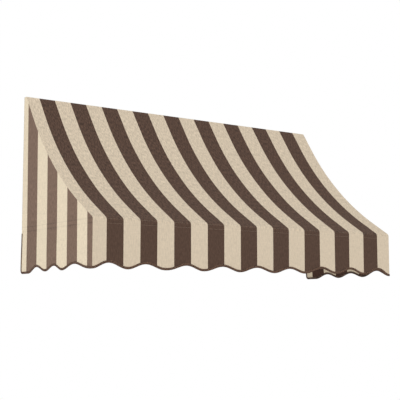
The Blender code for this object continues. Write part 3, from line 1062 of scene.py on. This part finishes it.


# %% [markdown]
# The weave brings these together. Slubs, the grain with its painted sheen and the painted crease shade
# change the tone of the bands' colour, and two crossing waves, one for each direction of the threads, give
# the bump.

# %% Weave
def weave(tree, shader, base, dark, level, grain_and_sheen, crease_shade):
    """Adds slubs, the grain with its painted sheen and the painted crease shade to a base colour, and the
    weave's bump to the shader.
    """
    flat = add_node(tree, "ShaderNodeUVMap")
    warp = slubs(tree, flat, slub_width, slub_length)
    weft = slubs(tree, flat, slub_length, slub_width)
    both = add_node(
        tree,
        "ShaderNodeMath",
        {0: warp.outputs["Fac"], 1: weft.outputs["Fac"]},
        operation="ADD",
    )
    shade = add_node(
        tree,
        "ShaderNodeMapRange",
        {
            "Value": both.outputs[0],
            "From Min": 0.6,
            "From Max": 1.4,
            "To Min": 1 - slub_tone,
            "To Max": 1 + slub_tone,
        },
    )
    yarns = slubs(tree, flat, grain_width, grain_length)
    grain = add_node(
        tree,
        "ShaderNodeMapRange",
        {"Value": yarns.outputs["Fac"], "From Min": 0.35, "From Max": 0.65, "To Min": -0.5, "To Max": 0.5},
    )
    # Painted sheen: the grain is painted stronger on the slope, where the light skims it, than on the
    # valance
    sheen_by_level = add_node(
        tree,
        "ShaderNodeMapRange",
        {
            "Value": level,
            "From Min": break_level - break_radius,
            "From Max": break_level,
            "To Min": grain_and_sheen["hanging"],
            "To Max": grain_and_sheen["slope"],
        },
    )
    lit = add_node(
        tree,
        "ShaderNodeMath",
        {0: grain.outputs["Result"], 1: sheen_by_level.outputs["Result"]},
        operation="MULTIPLY",
    )
    tone = shaded(tree, shade.outputs["Result"], lit.outputs[0], dark, grain_and_sheen_tone)
    # Painted shade: two soft dark lines where the seams crease the cloth
    if crease_shade:
        tone = shaded(tree, tone, crease_shade.outputs["Result"], dark, crease_shade_tone)
    toned = add_node(tree, "ShaderNodeVectorMath", {0: base, "Scale": tone}, operation="SCALE")
    tree.links.new(toned.outputs[0], shader.inputs["Base Color"])
    threads = []
    for direction in ("X", "Y"):
        inputs = {"Vector": flat.outputs[0], "Scale": wave_scale(weave_pitch), "Distortion": 0.0}
        threads.append(add_node(tree, "ShaderNodeTexWave", inputs, bands_direction=direction))
    crossing = add_node(
        tree,
        "ShaderNodeMath",
        {0: threads[0].outputs["Fac"], 1: threads[1].outputs["Fac"]},
        operation="MULTIPLY",
    )
    bump = add_node(
        tree,
        "ShaderNodeBump",
        {"Height": crossing.outputs[0], "Strength": 0.5, "Distance": 0.0003},
    )
    tree.links.new(bump.outputs["Normal"], shader.inputs["Normal"])


# %% [markdown]
# The bands are not all equal in width. Their edges are counted along the cloth, and the count at a place
# is a cubic in metres, with a last term for bands that lean, as on the wings.

# %% Bands
cloth_roughness = 0.85


def banded_colours(tree, tan, brown, axis, bands, lean):
    """The bands' colour along one axis, where they are dark, and the level that is read on the way."""
    place = add_node(tree, "ShaderNodeTexCoord")
    parts = add_node(tree, "ShaderNodeSeparateXYZ", {0: place.outputs["Object"]})
    along = parts.outputs[axis]
    count = add_node(tree, "ShaderNodeMath", {0: along, 1: bands[3], 2: bands[2]}, operation="MULTIPLY_ADD")
    for term in (bands[1], bands[0]):
        count = add_node(
            tree,
            "ShaderNodeMath",
            {0: count.outputs[0], 1: along, 2: term},
            operation="MULTIPLY_ADD",
        )
    leant = add_node(
        tree,
        "ShaderNodeMath",
        {0: parts.outputs["Z"], 1: lean, 2: count.outputs[0]},
        operation="MULTIPLY_ADD",
    )
    # A band is dark where the count of the edges passed is even
    pair = add_node(tree, "ShaderNodeMath", {0: leant.outputs[0], 1: 2.0}, operation="FLOORED_MODULO")
    dark = add_node(tree, "ShaderNodeMath", {0: pair.outputs[0], 1: 1.0}, operation="LESS_THAN")
    colours = add_node(
        tree,
        "ShaderNodeMix",
        {"Factor": dark.outputs[0], 6: srgb(tan), 7: srgb(brown)},
        data_type="RGBA",
    )
    return colours.outputs[2], dark.outputs[0], parts.outputs["Z"]


def banded_canvas(part, tan, brown, across, grain_and_sheen, has_crease_shade=False):
    """Woven bands with slubs, grain with its painted sheen and, where the seams are deep, the painted shade
    of their creases.
    """
    material, tree, shader = new_material("Striped acrylic canvas, " + part, cloth_roughness)
    shader.inputs["Specular IOR Level"].default_value = 0.2
    colour, dark, level = banded_colours(tree, tan, brown, *across)
    weave(tree, shader, colour, dark, level, grain_and_sheen, crease_shade_mask(tree, level) if has_crease_shade else None)
    return material


# %% [markdown]
# Seen from inside, the tan bands hold the light that comes through them and the dark bands stay nearly
# black, so the inner faces have a canvas of their own with a deeper brown, a painted shade, and the wings'
# even grain. The wings' colours are the front's lifted by a painted sheen, where the side light rakes over
# them, and only the wings' seams get the painted crease shade; the front's don't show one.

# %% Canvas on the cover
tan_front = "#d4c4ad"
brown_front = "#533f34"
# Painted sheen: the wings' tan and brown are lighter than the front's because the side light rakes over
# them
tan_wing_sheen = "#e6d7bd"
brown_wing_sheen = "#7c6658"
# Painted shade: the inner faces' brown is darker than the outside's because they lie in the shade
brown_inside_shade = "#4a3228"
front_bands = (9.012, 11.04, -0.729, 0.548)
wing_bands = (-0.467, -10.133, 1.269, -0.729)
wing_band_lean = 0.16
# Painted sheen: on the front the grain is painted three times as strong on the slope as on the valance
front_grain_and_sheen = {"hanging": 0.5, "slope": 1.5}
wing_grain_and_sheen = {"hanging": 0.6, "slope": 0.6}

across_front = ("X", front_bands, 0.0)
across_wing = ("Y", wing_bands, wing_band_lean)
front_canvases = [
    banded_canvas("front", tan_front, brown_front, across_front, front_grain_and_sheen),
    banded_canvas("front from inside", tan_front, brown_inside_shade, across_front, wing_grain_and_sheen),
]
wing_canvases = [
    banded_canvas("wings", tan_wing_sheen, brown_wing_sheen, across_wing, wing_grain_and_sheen, has_crease_shade=True),
    banded_canvas("wings from inside", tan_wing_sheen, brown_inside_shade, across_wing, wing_grain_and_sheen),
]


def dress(piece, finishes):
    """Puts finishes into a piece's slots, outside first."""
    for slot, finish in enumerate(finishes):
        piece.data.materials[slot] = finish
    print(piece.name + ":", [finish.name for finish in finishes])


dress(front_cloth, front_canvases)
dress(left_wing_cloth, wing_canvases)
dress(right_wing_cloth, wing_canvases)

# %% [markdown]
# ## Braided tape
# The tape is a braid of dyed polyester: tighter and a little shinier than the canvas, with a fine
# diagonal rib. Its strands are about 1 mm wide and are drawn at 2.2 mm, so that they show, with painted
# shade in the grooves between them. Its inner face is painted nearly black, as the shade under the cover.
# On the far wing only a strip of the tape's inner face shows, rim and all in the shade, so more of the
# tape's rows take that painted shade.

# %% Finish of the tape
tape_outside = ("#5a4030", "#80604c")
# Painted shade: the inner face is nearly black because it lies in the shade
tape_inside_shade = ("#150e0a", "#281b14")
braid_pitch = 0.0022
braid_angle = math.radians(38)
near_outer_share = 0.5
far_outer_share = 0.3


def braided_tape(name, groove_shade, rib):
    """Two sets of slanting ribs, which cross as the strands of a braid do, with painted shade in the
    grooves between them.
    """
    material, tree, shader = new_material(name, roughness=0.75)
    shader.inputs["Specular IOR Level"].default_value = 0.25
    flat = add_node(tree, "ShaderNodeUVMap")
    ribs = []
    for angle in (braid_angle, -braid_angle):
        turned = add_node(
            tree,
            "ShaderNodeMapping",
            {"Vector": flat.outputs[0], "Rotation": (0.0, 0.0, angle)},
        )
        inputs = {"Vector": turned.outputs[0], "Scale": wave_scale(braid_pitch)}
        ribs.append(add_node(tree, "ShaderNodeTexWave", inputs))
    cross = add_node(
        tree,
        "ShaderNodeMath",
        {0: ribs[0].outputs["Fac"], 1: ribs[1].outputs["Fac"]},
        operation="MAXIMUM",
    )
    # Painted shade: the grooves take the darker tone, the ribs the lighter one
    tone = add_node(
        tree,
        "ShaderNodeMix",
        {"Factor": cross.outputs[0], 6: srgb(groove_shade), 7: srgb(rib)},
        data_type="RGBA",
    )
    tree.links.new(tone.outputs[2], shader.inputs["Base Color"])
    bump = add_node(
        tree,
        "ShaderNodeBump",
        {"Height": cross.outputs[0], "Strength": 0.6, "Distance": 0.0004},
    )
    tree.links.new(bump.outputs["Normal"], shader.inputs["Normal"])
    return material


# The inner rows take the painted shade; on the far wing more of them do
for face in edge_tape.data.polygons:
    outer_share = far_outer_share if face.center.x > half_width - cloth else near_outer_share
    face.material_index = 0 if face.index % tape_rows < tape_rows * outer_share else 1
tape_finishes = [
    braided_tape("Braided polyester tape", *tape_outside),
    braided_tape("Braided polyester tape from inside", *tape_inside_shade),
]
dress(edge_tape, tape_finishes)
face_away_from(edge_tape, inside_point)
apply_modifier(edge_tape, "SOLIDIFY", thickness=tape, offset=-1.0)

# %% [markdown]
# ## Clear and brown thread
# The tape and the hems are sewn with brown twisted thread. The cover's own seams are sewn with a clear
# thread, which takes the colour of the band below it; on the front it is painted a little lighter, a
# painted glint. The twist of both is finer than the thread, and its glints are painted into the colour
# about 1 mm long.

# %% Finish of the threads
# Painted glints: the lighter twist tone stands for light on the twist
twist_glint_tones = ("#4a372d", "#6b5547")
# Painted glint: the clear thread on the front is painted lighter than the bands below it
clear_tan_glint = "#dccdb6"
clear_brown_glint = "#8f7b6a"
ply_length = 1 / 900


def glints(tree):
    """Painted glints: noise as long as one turn of a thread's twist, which lightens and darkens its colour.
    """
    place = add_node(tree, "ShaderNodeTexCoord")
    inputs = {"Vector": place.outputs["Object"], "Scale": 1 / ply_length, "Detail": 1.0}
    return add_node(tree, "ShaderNodeTexNoise", inputs).outputs["Fac"]


def clear_thread(name, tan, brown, across):
    """A smooth thread that shows the bands under it, with painted glints."""
    material, tree, shader = new_material(name, roughness=0.35)
    colour, _, _ = banded_colours(tree, tan, brown, *across)
    glint = add_node(tree, "ShaderNodeMapRange", {"Value": glints(tree), "To Min": 0.85, "To Max": 1.15})
    toned = add_node(
        tree,
        "ShaderNodeVectorMath",
        {0: colour, "Scale": glint.outputs["Result"]},
        operation="SCALE",
    )
    tree.links.new(toned.outputs[0], shader.inputs["Base Color"])
    return material


clear_on_front = clear_thread("Clear thread, front", clear_tan_glint, clear_brown_glint, across_front)
front_thread.data.materials.append(clear_on_front)
clear_on_wing = clear_thread("Clear thread, wings", tan_wing_sheen, brown_wing_sheen, across_wing)
for thread in (left_wing_thread, right_wing_thread):
    thread.data.materials.append(clear_on_wing)

twist, twist_tree, twist_shader = new_material("Twisted polyester thread", roughness=0.6)
twist_tone = add_node(
    twist_tree,
    "ShaderNodeMix",
    {"Factor": glints(twist_tree), 6: srgb(twist_glint_tones[0]), 7: srgb(twist_glint_tones[1])},
    data_type="RGBA",
)
twist_tree.links.new(twist_tone.outputs[2], twist_shader.inputs["Base Color"])
for thread in (hem_thread, tape_thread):
    thread.data.materials.append(twist)
print("threads:", clear_on_front.name + ",", clear_on_wing.name, "and", twist.name)

# %% [markdown]
# ## Mill finish aluminium
# The square tubes are extruded and left as they come from the die: pale grey, fairly bright, with fine
# lines along their length. Noise drawn out along the tube gives the lines. On the real tube they are
# finer than 0.3 mm and they are drawn at 0.8 mm. A tube along X takes one finish, one along Y another,
# and a rolled rafter runs in both Y and Z. One function gives each metal of the frame its look: the
# colour follows one pattern between two tones, and the roughness and the relief follow theirs.

# %% Finish of the tubes
die_line = 0.0008
die_line_length = 0.090


def finish_metal(tree, shader, tones, tone_by, roughness, gloss_by, relief=None):
    """Colour between two tones, roughness between two levels, and a relief as a Bump node's inputs."""
    tone = add_node(
        tree,
        "ShaderNodeMix",
        {"Factor": tone_by, 6: srgb(tones[0]), 7: srgb(tones[1])},
        data_type="RGBA",
    )
    tree.links.new(tone.outputs[2], shader.inputs["Base Color"])
    spread = add_node(
        tree,
        "ShaderNodeMapRange",
        {"Value": gloss_by, "To Min": roughness[0], "To Max": roughness[1]},
    )
    tree.links.new(spread.outputs["Result"], shader.inputs["Roughness"])
    if relief:
        bump = add_node(tree, "ShaderNodeBump", relief)
        tree.links.new(bump.outputs["Normal"], shader.inputs["Normal"])


def mill_finish(name, lengthwise):
    """Extruded aluminium with its die lines along the given axes."""
    material, tree, shader = new_material(name, roughness=0.34, metallic=1.0)
    place = add_node(tree, "ShaderNodeTexCoord")
    scale = [1 / (die_line_length if axis in lengthwise else die_line) for axis in "XYZ"]
    stretch = add_node(tree, "ShaderNodeMapping", {"Vector": place.outputs["Object"], "Scale": scale})
    inputs = {"Vector": stretch.outputs[0], "Scale": 1.0, "Detail": 2.0}
    lines = add_node(tree, "ShaderNodeTexNoise", inputs).outputs["Fac"]
    finish_metal(
        tree,
        shader,
        tones=("#a9abad", "#d0d1d3"),
        tone_by=lines,
        roughness=(0.26, 0.44),
        gloss_by=lines,
        relief={"Height": lines, "Strength": 0.35, "Distance": 0.0001},
    )
    return material


tube_directions = {
    "X": ["head_bar", "front_bar"],
    "Y": ["left_arm", "right_arm"],
    "Z": ["left_post", "right_post"],
    "YZ": ["left_rafter", "middle_rafter", "right_rafter"],
}
tube_finishes = {}
for lengthwise, nodes in tube_directions.items():
    finish = mill_finish("Mill finish aluminium, along " + lengthwise, lengthwise)
    for node in nodes:
        tube_finishes[node] = finish
    print(finish.name + ":", nodes)

# %% [markdown]
# ## Tubes, cast fittings and pressed brackets
# A die leaves a small radius along a tube's corners. The fittings are die-cast, so every edge has one
# too, and the skin is dull with a fine grain. The brackets are pressed from galvanised sheet, with the
# zinc's spangle and a rolled-over cut edge. The frame's own solids have sharp edges and loose triangles.
# A merged copy of each takes a bevel and stands in for it, in the same place.

# %% Merged and bevelled copies
merge_distance = 0.00002
tube_edge = 0.0006
cast_edge = 0.0007
pressed_edge = 0.0005
flat_angle = math.radians(0.1)
bevel_angle = math.radians(35)
smooth_angle = math.radians(32)


def pieces_of(slot):
    """The names of the frame's nodes in one material slot."""
    return sorted(part["node"] for part in frame["record"]["subparts"] if part["material_slot"] == slot)


def rounded_copy(node, name, radius):
    """A copy of a frame node with its doubles merged and its edges rounded."""
    mesh = frame["nodes"][node].data.copy()
    mesh.materials.clear()
    piece = add_piece(name, mesh)
    select_only(piece)
    bpy.ops.object.mode_set(mode="EDIT")
    bpy.ops.mesh.select_all(action="SELECT")
    bpy.ops.mesh.remove_doubles(threshold=merge_distance)
    bpy.ops.mesh.dissolve_limited(angle_limit=flat_angle)
    bpy.ops.object.mode_set(mode="OBJECT")
    apply_modifier(
        piece, "BEVEL", width=radius, segments=2, limit_method="ANGLE", angle_limit=bevel_angle
    )
    select_only(piece)
    bpy.ops.object.shade_smooth_by_angle(angle=smooth_angle)
    return piece


def rounded_copies(slot, ending, radius):
    """The rounded copies of all nodes in one material slot, by node."""
    return {node: rounded_copy(node, node + ending, radius) for node in pieces_of(slot)}


tubes = rounded_copies("aluminium_tube", "_tube", tube_edge)
castings = rounded_copies("cast_aluminium", "_casting", cast_edge)
pressings = rounded_copies("galvanised_steel", "_pressing", pressed_edge)
for node, tube in tubes.items():
    tube.data.materials.append(tube_finishes[node])
print("tubes:", len(tubes), "castings:", len(castings), "pressings:", len(pressings))

# %% [markdown]
# Die-cast metal is grey and even with a grain of about half a millimetre. Zinc freezes on steel in
# crystals of 5 mm or so, each a little lighter or darker than the next, which a Voronoi pattern gives.

# %% Cast and galvanised finishes
cast_grain = 0.0006
cloud_size = 0.014
spangle = 0.005

cast_metal, cast_tree, cast_shader = new_material("Die-cast aluminium", roughness=0.5, metallic=1.0)
cast_place = add_node(cast_tree, "ShaderNodeTexCoord").outputs["Object"]
cast_noise = add_node(
    cast_tree,
    "ShaderNodeTexNoise",
    {"Vector": cast_place, "Scale": 1 / cast_grain, "Detail": 2.0},
)
cast_cloud = add_node(
    cast_tree,
    "ShaderNodeTexNoise",
    {"Vector": cast_place, "Scale": 1 / cloud_size, "Detail": 3.0},
)
finish_metal(
    cast_tree,
    cast_shader,
    tones=("#8f9092", "#b2b3b5"),
    tone_by=cast_cloud.outputs["Fac"],
    roughness=(0.42, 0.62),
    gloss_by=cast_cloud.outputs["Fac"],
    relief={"Height": cast_noise.outputs["Fac"], "Strength": 0.5, "Distance": 0.00015},
)

galvanised, zinc_tree, zinc_shader = new_material("Galvanised steel sheet", roughness=0.4, metallic=1.0)
zinc_place = add_node(zinc_tree, "ShaderNodeTexCoord").outputs["Object"]
crystals = add_node(zinc_tree, "ShaderNodeTexVoronoi", {"Vector": zinc_place, "Scale": 1 / spangle})
crystal_tone = add_node(zinc_tree, "ShaderNodeSeparateColor", {0: crystals.outputs["Color"]})
finish_metal(
    zinc_tree,
    zinc_shader,
    tones=("#94989b", "#bfc3c6"),
    tone_by=crystal_tone.outputs[0],
    roughness=(0.30, 0.52),
    gloss_by=crystal_tone.outputs[1],
    relief={"Height": crystals.outputs["Distance"], "Strength": 0.2, "Distance": 0.0001},
)

for casting in castings.values():
    casting.data.materials.append(cast_metal)
for pressing in pressings.values():
    pressing.data.materials.append(galvanised)
print("finishes:", cast_metal.name, "and", galvanised.name)

# %% [markdown]
# ## Pan head screws
# One screw is modelled and copied to each of its places. The head is a low disc whose rim is bevelled
# round, with a cross recess cut into it. The shank is extruded from the underside, and its thread is a
# row of ridges, each a pair of extrusions scaled out and in. The frame's own screw tells its place: the
# end whose points spread widest is the head.

# %% One screw
screw_low, screw_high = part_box("head_tee_screw_1")
head_radius = (screw_high.x - screw_low.x) / 2
screw_reach = screw_high.y - screw_low.y
head_height = 0.0022
rim_share = 0.6
shank_radius = 0.0020
ridge_radius = 0.00235
ridge_pitch = 0.0011
ridge_flank = 0.35
point_length = 0.0030
point_share = 0.2
recess_reach = 0.0044
recess_width = 0.0010
recess_depth = 0.0013
recess_taper = 0.5
screw_smooth_angle = math.radians(35)


def select_end_face(mesh, highest):
    """Selects, in edit mode, the face that lies furthest up or down."""
    bpy.ops.mesh.select_mode(type="FACE")
    bpy.ops.mesh.select_all(action="DESELECT")
    bpy.ops.object.mode_set(mode="OBJECT")
    pick = max if highest else min
    pick(mesh.polygons, key=lambda face: face.center.z).select = True
    bpy.ops.object.mode_set(mode="EDIT")


def extrude_and_scale(length, factor):
    """Extrudes the selected end face along Z and scales it."""
    bpy.ops.mesh.extrude_region_move(TRANSFORM_OT_translate={"value": (0.0, 0.0, length)})
    bpy.ops.transform.resize(value=(factor, factor, 1.0))


def cut_recess(screw):
    """Cuts the cross recess with two tapered bars."""
    for turn in (0.0, math.pi / 2):
        bpy.ops.object.select_all(action="DESELECT")
        bpy.ops.mesh.primitive_cube_add(size=1.0, rotation=(0.0, 0.0, turn))
        cutter = bpy.context.object
        cutter.scale = (recess_reach, recess_width, 2 * recess_depth)
        bpy.ops.object.transform_apply(location=False, rotation=True, scale=True)
        for vertex in cutter.data.vertices:
            if vertex.co.z > 0:
                vertex.co.x *= recess_taper
                vertex.co.y *= recess_taper
        apply_modifier(screw, "BOOLEAN", object=cutter, operation="DIFFERENCE")
        bpy.data.objects.remove(cutter)


def make_screw():
    """A screw along +Z, with the top of its head at the origin."""
    bpy.ops.object.select_all(action="DESELECT")
    bpy.ops.mesh.primitive_cylinder_add(
        vertices=20, radius=head_radius, depth=head_height, location=(0.0, 0.0, head_height / 2)
    )
    screw = bpy.context.object
    bpy.ops.object.transform_apply(location=True, rotation=False, scale=False)
    bpy.ops.object.mode_set(mode="EDIT")
    select_end_face(screw.data, highest=False)
    bpy.ops.mesh.bevel(offset=head_height * rim_share, segments=4, affect="EDGES")
    select_end_face(screw.data, highest=True)
    bpy.ops.mesh.inset(thickness=head_radius - shank_radius)
    extrude_and_scale(ridge_pitch, 1.0)
    ridges = int((screw_reach - head_height - point_length - ridge_pitch) / ridge_pitch)
    for _ in range(ridges):
        extrude_and_scale(ridge_pitch * ridge_flank, ridge_radius / shank_radius)
        extrude_and_scale(ridge_pitch * (1 - ridge_flank), shank_radius / ridge_radius)
    extrude_and_scale(screw_reach - head_height - (ridges + 1) * ridge_pitch, point_share)
    bpy.ops.object.mode_set(mode="OBJECT")
    cut_recess(screw)
    select_only(screw)
    bpy.ops.object.shade_smooth_by_angle(angle=screw_smooth_angle)
    print("screw:", len(screw.data.polygons), "faces,", ridges, "ridges")
    return screw


# %% [markdown]
# Zinc plate on a screw is thin and bright, with a faint yellow and blue cast from its passivation, in
# clouds of a few millimetres.

# %% Screws in their places
plate_cloud = 0.0025
end_margin = 0.0001

plated, plated_tree, plated_shader = new_material("Zinc plated steel", roughness=0.3, metallic=1.0)
plated_place = add_node(plated_tree, "ShaderNodeTexCoord")
plated_noise = add_node(
    plated_tree,
    "ShaderNodeTexNoise",
    {"Vector": plated_place.outputs["Object"], "Scale": 1 / plate_cloud, "Detail": 2.0},
)
finish_metal(
    plated_tree,
    plated_shader,
    tones=("#b5b19f", "#c9cdd2"),
    tone_by=plated_noise.outputs["Fac"],
    roughness=(0.22, 0.38),
    gloss_by=plated_noise.outputs["Fac"],
)


def screw_place(node):
    """The top of a screw's head and the way that it points, from the frame's own screw."""
    low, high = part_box(node)
    size = high - low
    axis = max(range(3), key=lambda i: size[i])
    along = Vector([float(i == axis) for i in range(3)])
    middle = (low + high) / 2
    spreads = {}
    for sign, level in ((1, low[axis]), (-1, high[axis])):
        spreads[sign] = 0.0
        for vertex in frame["nodes"][node].data.vertices:
            if abs(vertex.co[axis] - level) < end_margin:
                spreads[sign] = max(spreads[sign], (vertex.co - middle).cross(along).length)
    sign = max(spreads, key=spreads.get)
    direction = Vector([float(sign * (i == axis)) for i in range(3)])
    return middle - direction * size[axis] / 2, direction


screw = make_screw()
screw_pieces = {}
for node in pieces_of("zinc_plated_steel"):
    top, direction = screw_place(node)
    mesh = screw.data.copy()
    turn = Vector((0.0, 0.0, 1.0)).rotation_difference(direction).to_matrix().to_4x4()
    mesh.transform(Matrix.Translation(top) @ turn)
    mesh.materials.clear()
    mesh.materials.append(plated)
    screw_pieces[node] = add_piece(node + "_pan_head", mesh)
bpy.data.objects.remove(screw)
print("screws:", len(screw_pieces))

# %% [markdown]
# ## Who rides, who stands for what
# Nothing on this awning moves, so every piece rides on the one body. The new cloth stands for the
# frame's plain cloth, and each rounded or threaded copy for its own node.

# %% Bodies, slots and replaced nodes
threads = [front_thread, hem_thread, tape_thread]
wing_threads = [left_wing_thread, right_wing_thread]
cloth_pieces = {front_cloth: "front_panel", left_wing_cloth: "left_wing", right_wing_cloth: "right_wing"}
for piece, node in cloth_pieces.items():
    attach(piece, "root")
    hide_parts(node)
for piece in [edge_tape, *threads, *wing_threads]:
    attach(piece, "root")
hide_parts("binding")
metal_pieces = {
    "aluminium_tube": tubes,
    "cast_aluminium": castings,
    "galvanised_steel": pressings,
    "zinc_plated_steel": screw_pieces,
}
for slot, group in metal_pieces.items():
    for node, piece in group.items():
        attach(piece, "root")
        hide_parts(node)
    print(slot + ":", len(group), "pieces")

# %% [markdown]
# ## Cut sheets
# The flat areas of the three cut sheets, as they lay on the cutting table, are worked out here, and the
# front sheet's size is printed. Their areas leave out what the scallops and the slope cut away.

# %% Sheets
area_steps = 400


def wing_area(side):
    """The flat area of a wing's cut with its fold."""
    area = fold_width * (fold_top - arm_bottom)
    width = (projection - cover_back) / area_steps
    for i in range(area_steps):
        forward = cover_back + width * (i + 0.5)
        area += width * (wing_top(forward) - wing_edge(side, forward))
    return area


def panel_area():
    """The flat area of the front panel's cut."""
    area = 0.0
    width = 2 * half_width / area_steps
    for i in range(area_steps):
        x = half_width * (2 * i / (area_steps - 1) - 1)
        area += width * (panel_length + edge_low - front_edge(x))
    return area


panel_area()
print("front_cloth:", round(2 * half_width, 4), "by", round(panel_length, 4), "m")
for wing, thread, side, rests in (
    (left_wing_cloth, left_wing_thread, -1, ["left_post", "left_arm", "left_rafter"]),
    (right_wing_cloth, right_wing_thread, 1, ["right_post", "right_arm", "right_rafter"]),
):
    wing_area(side)
    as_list(rests)
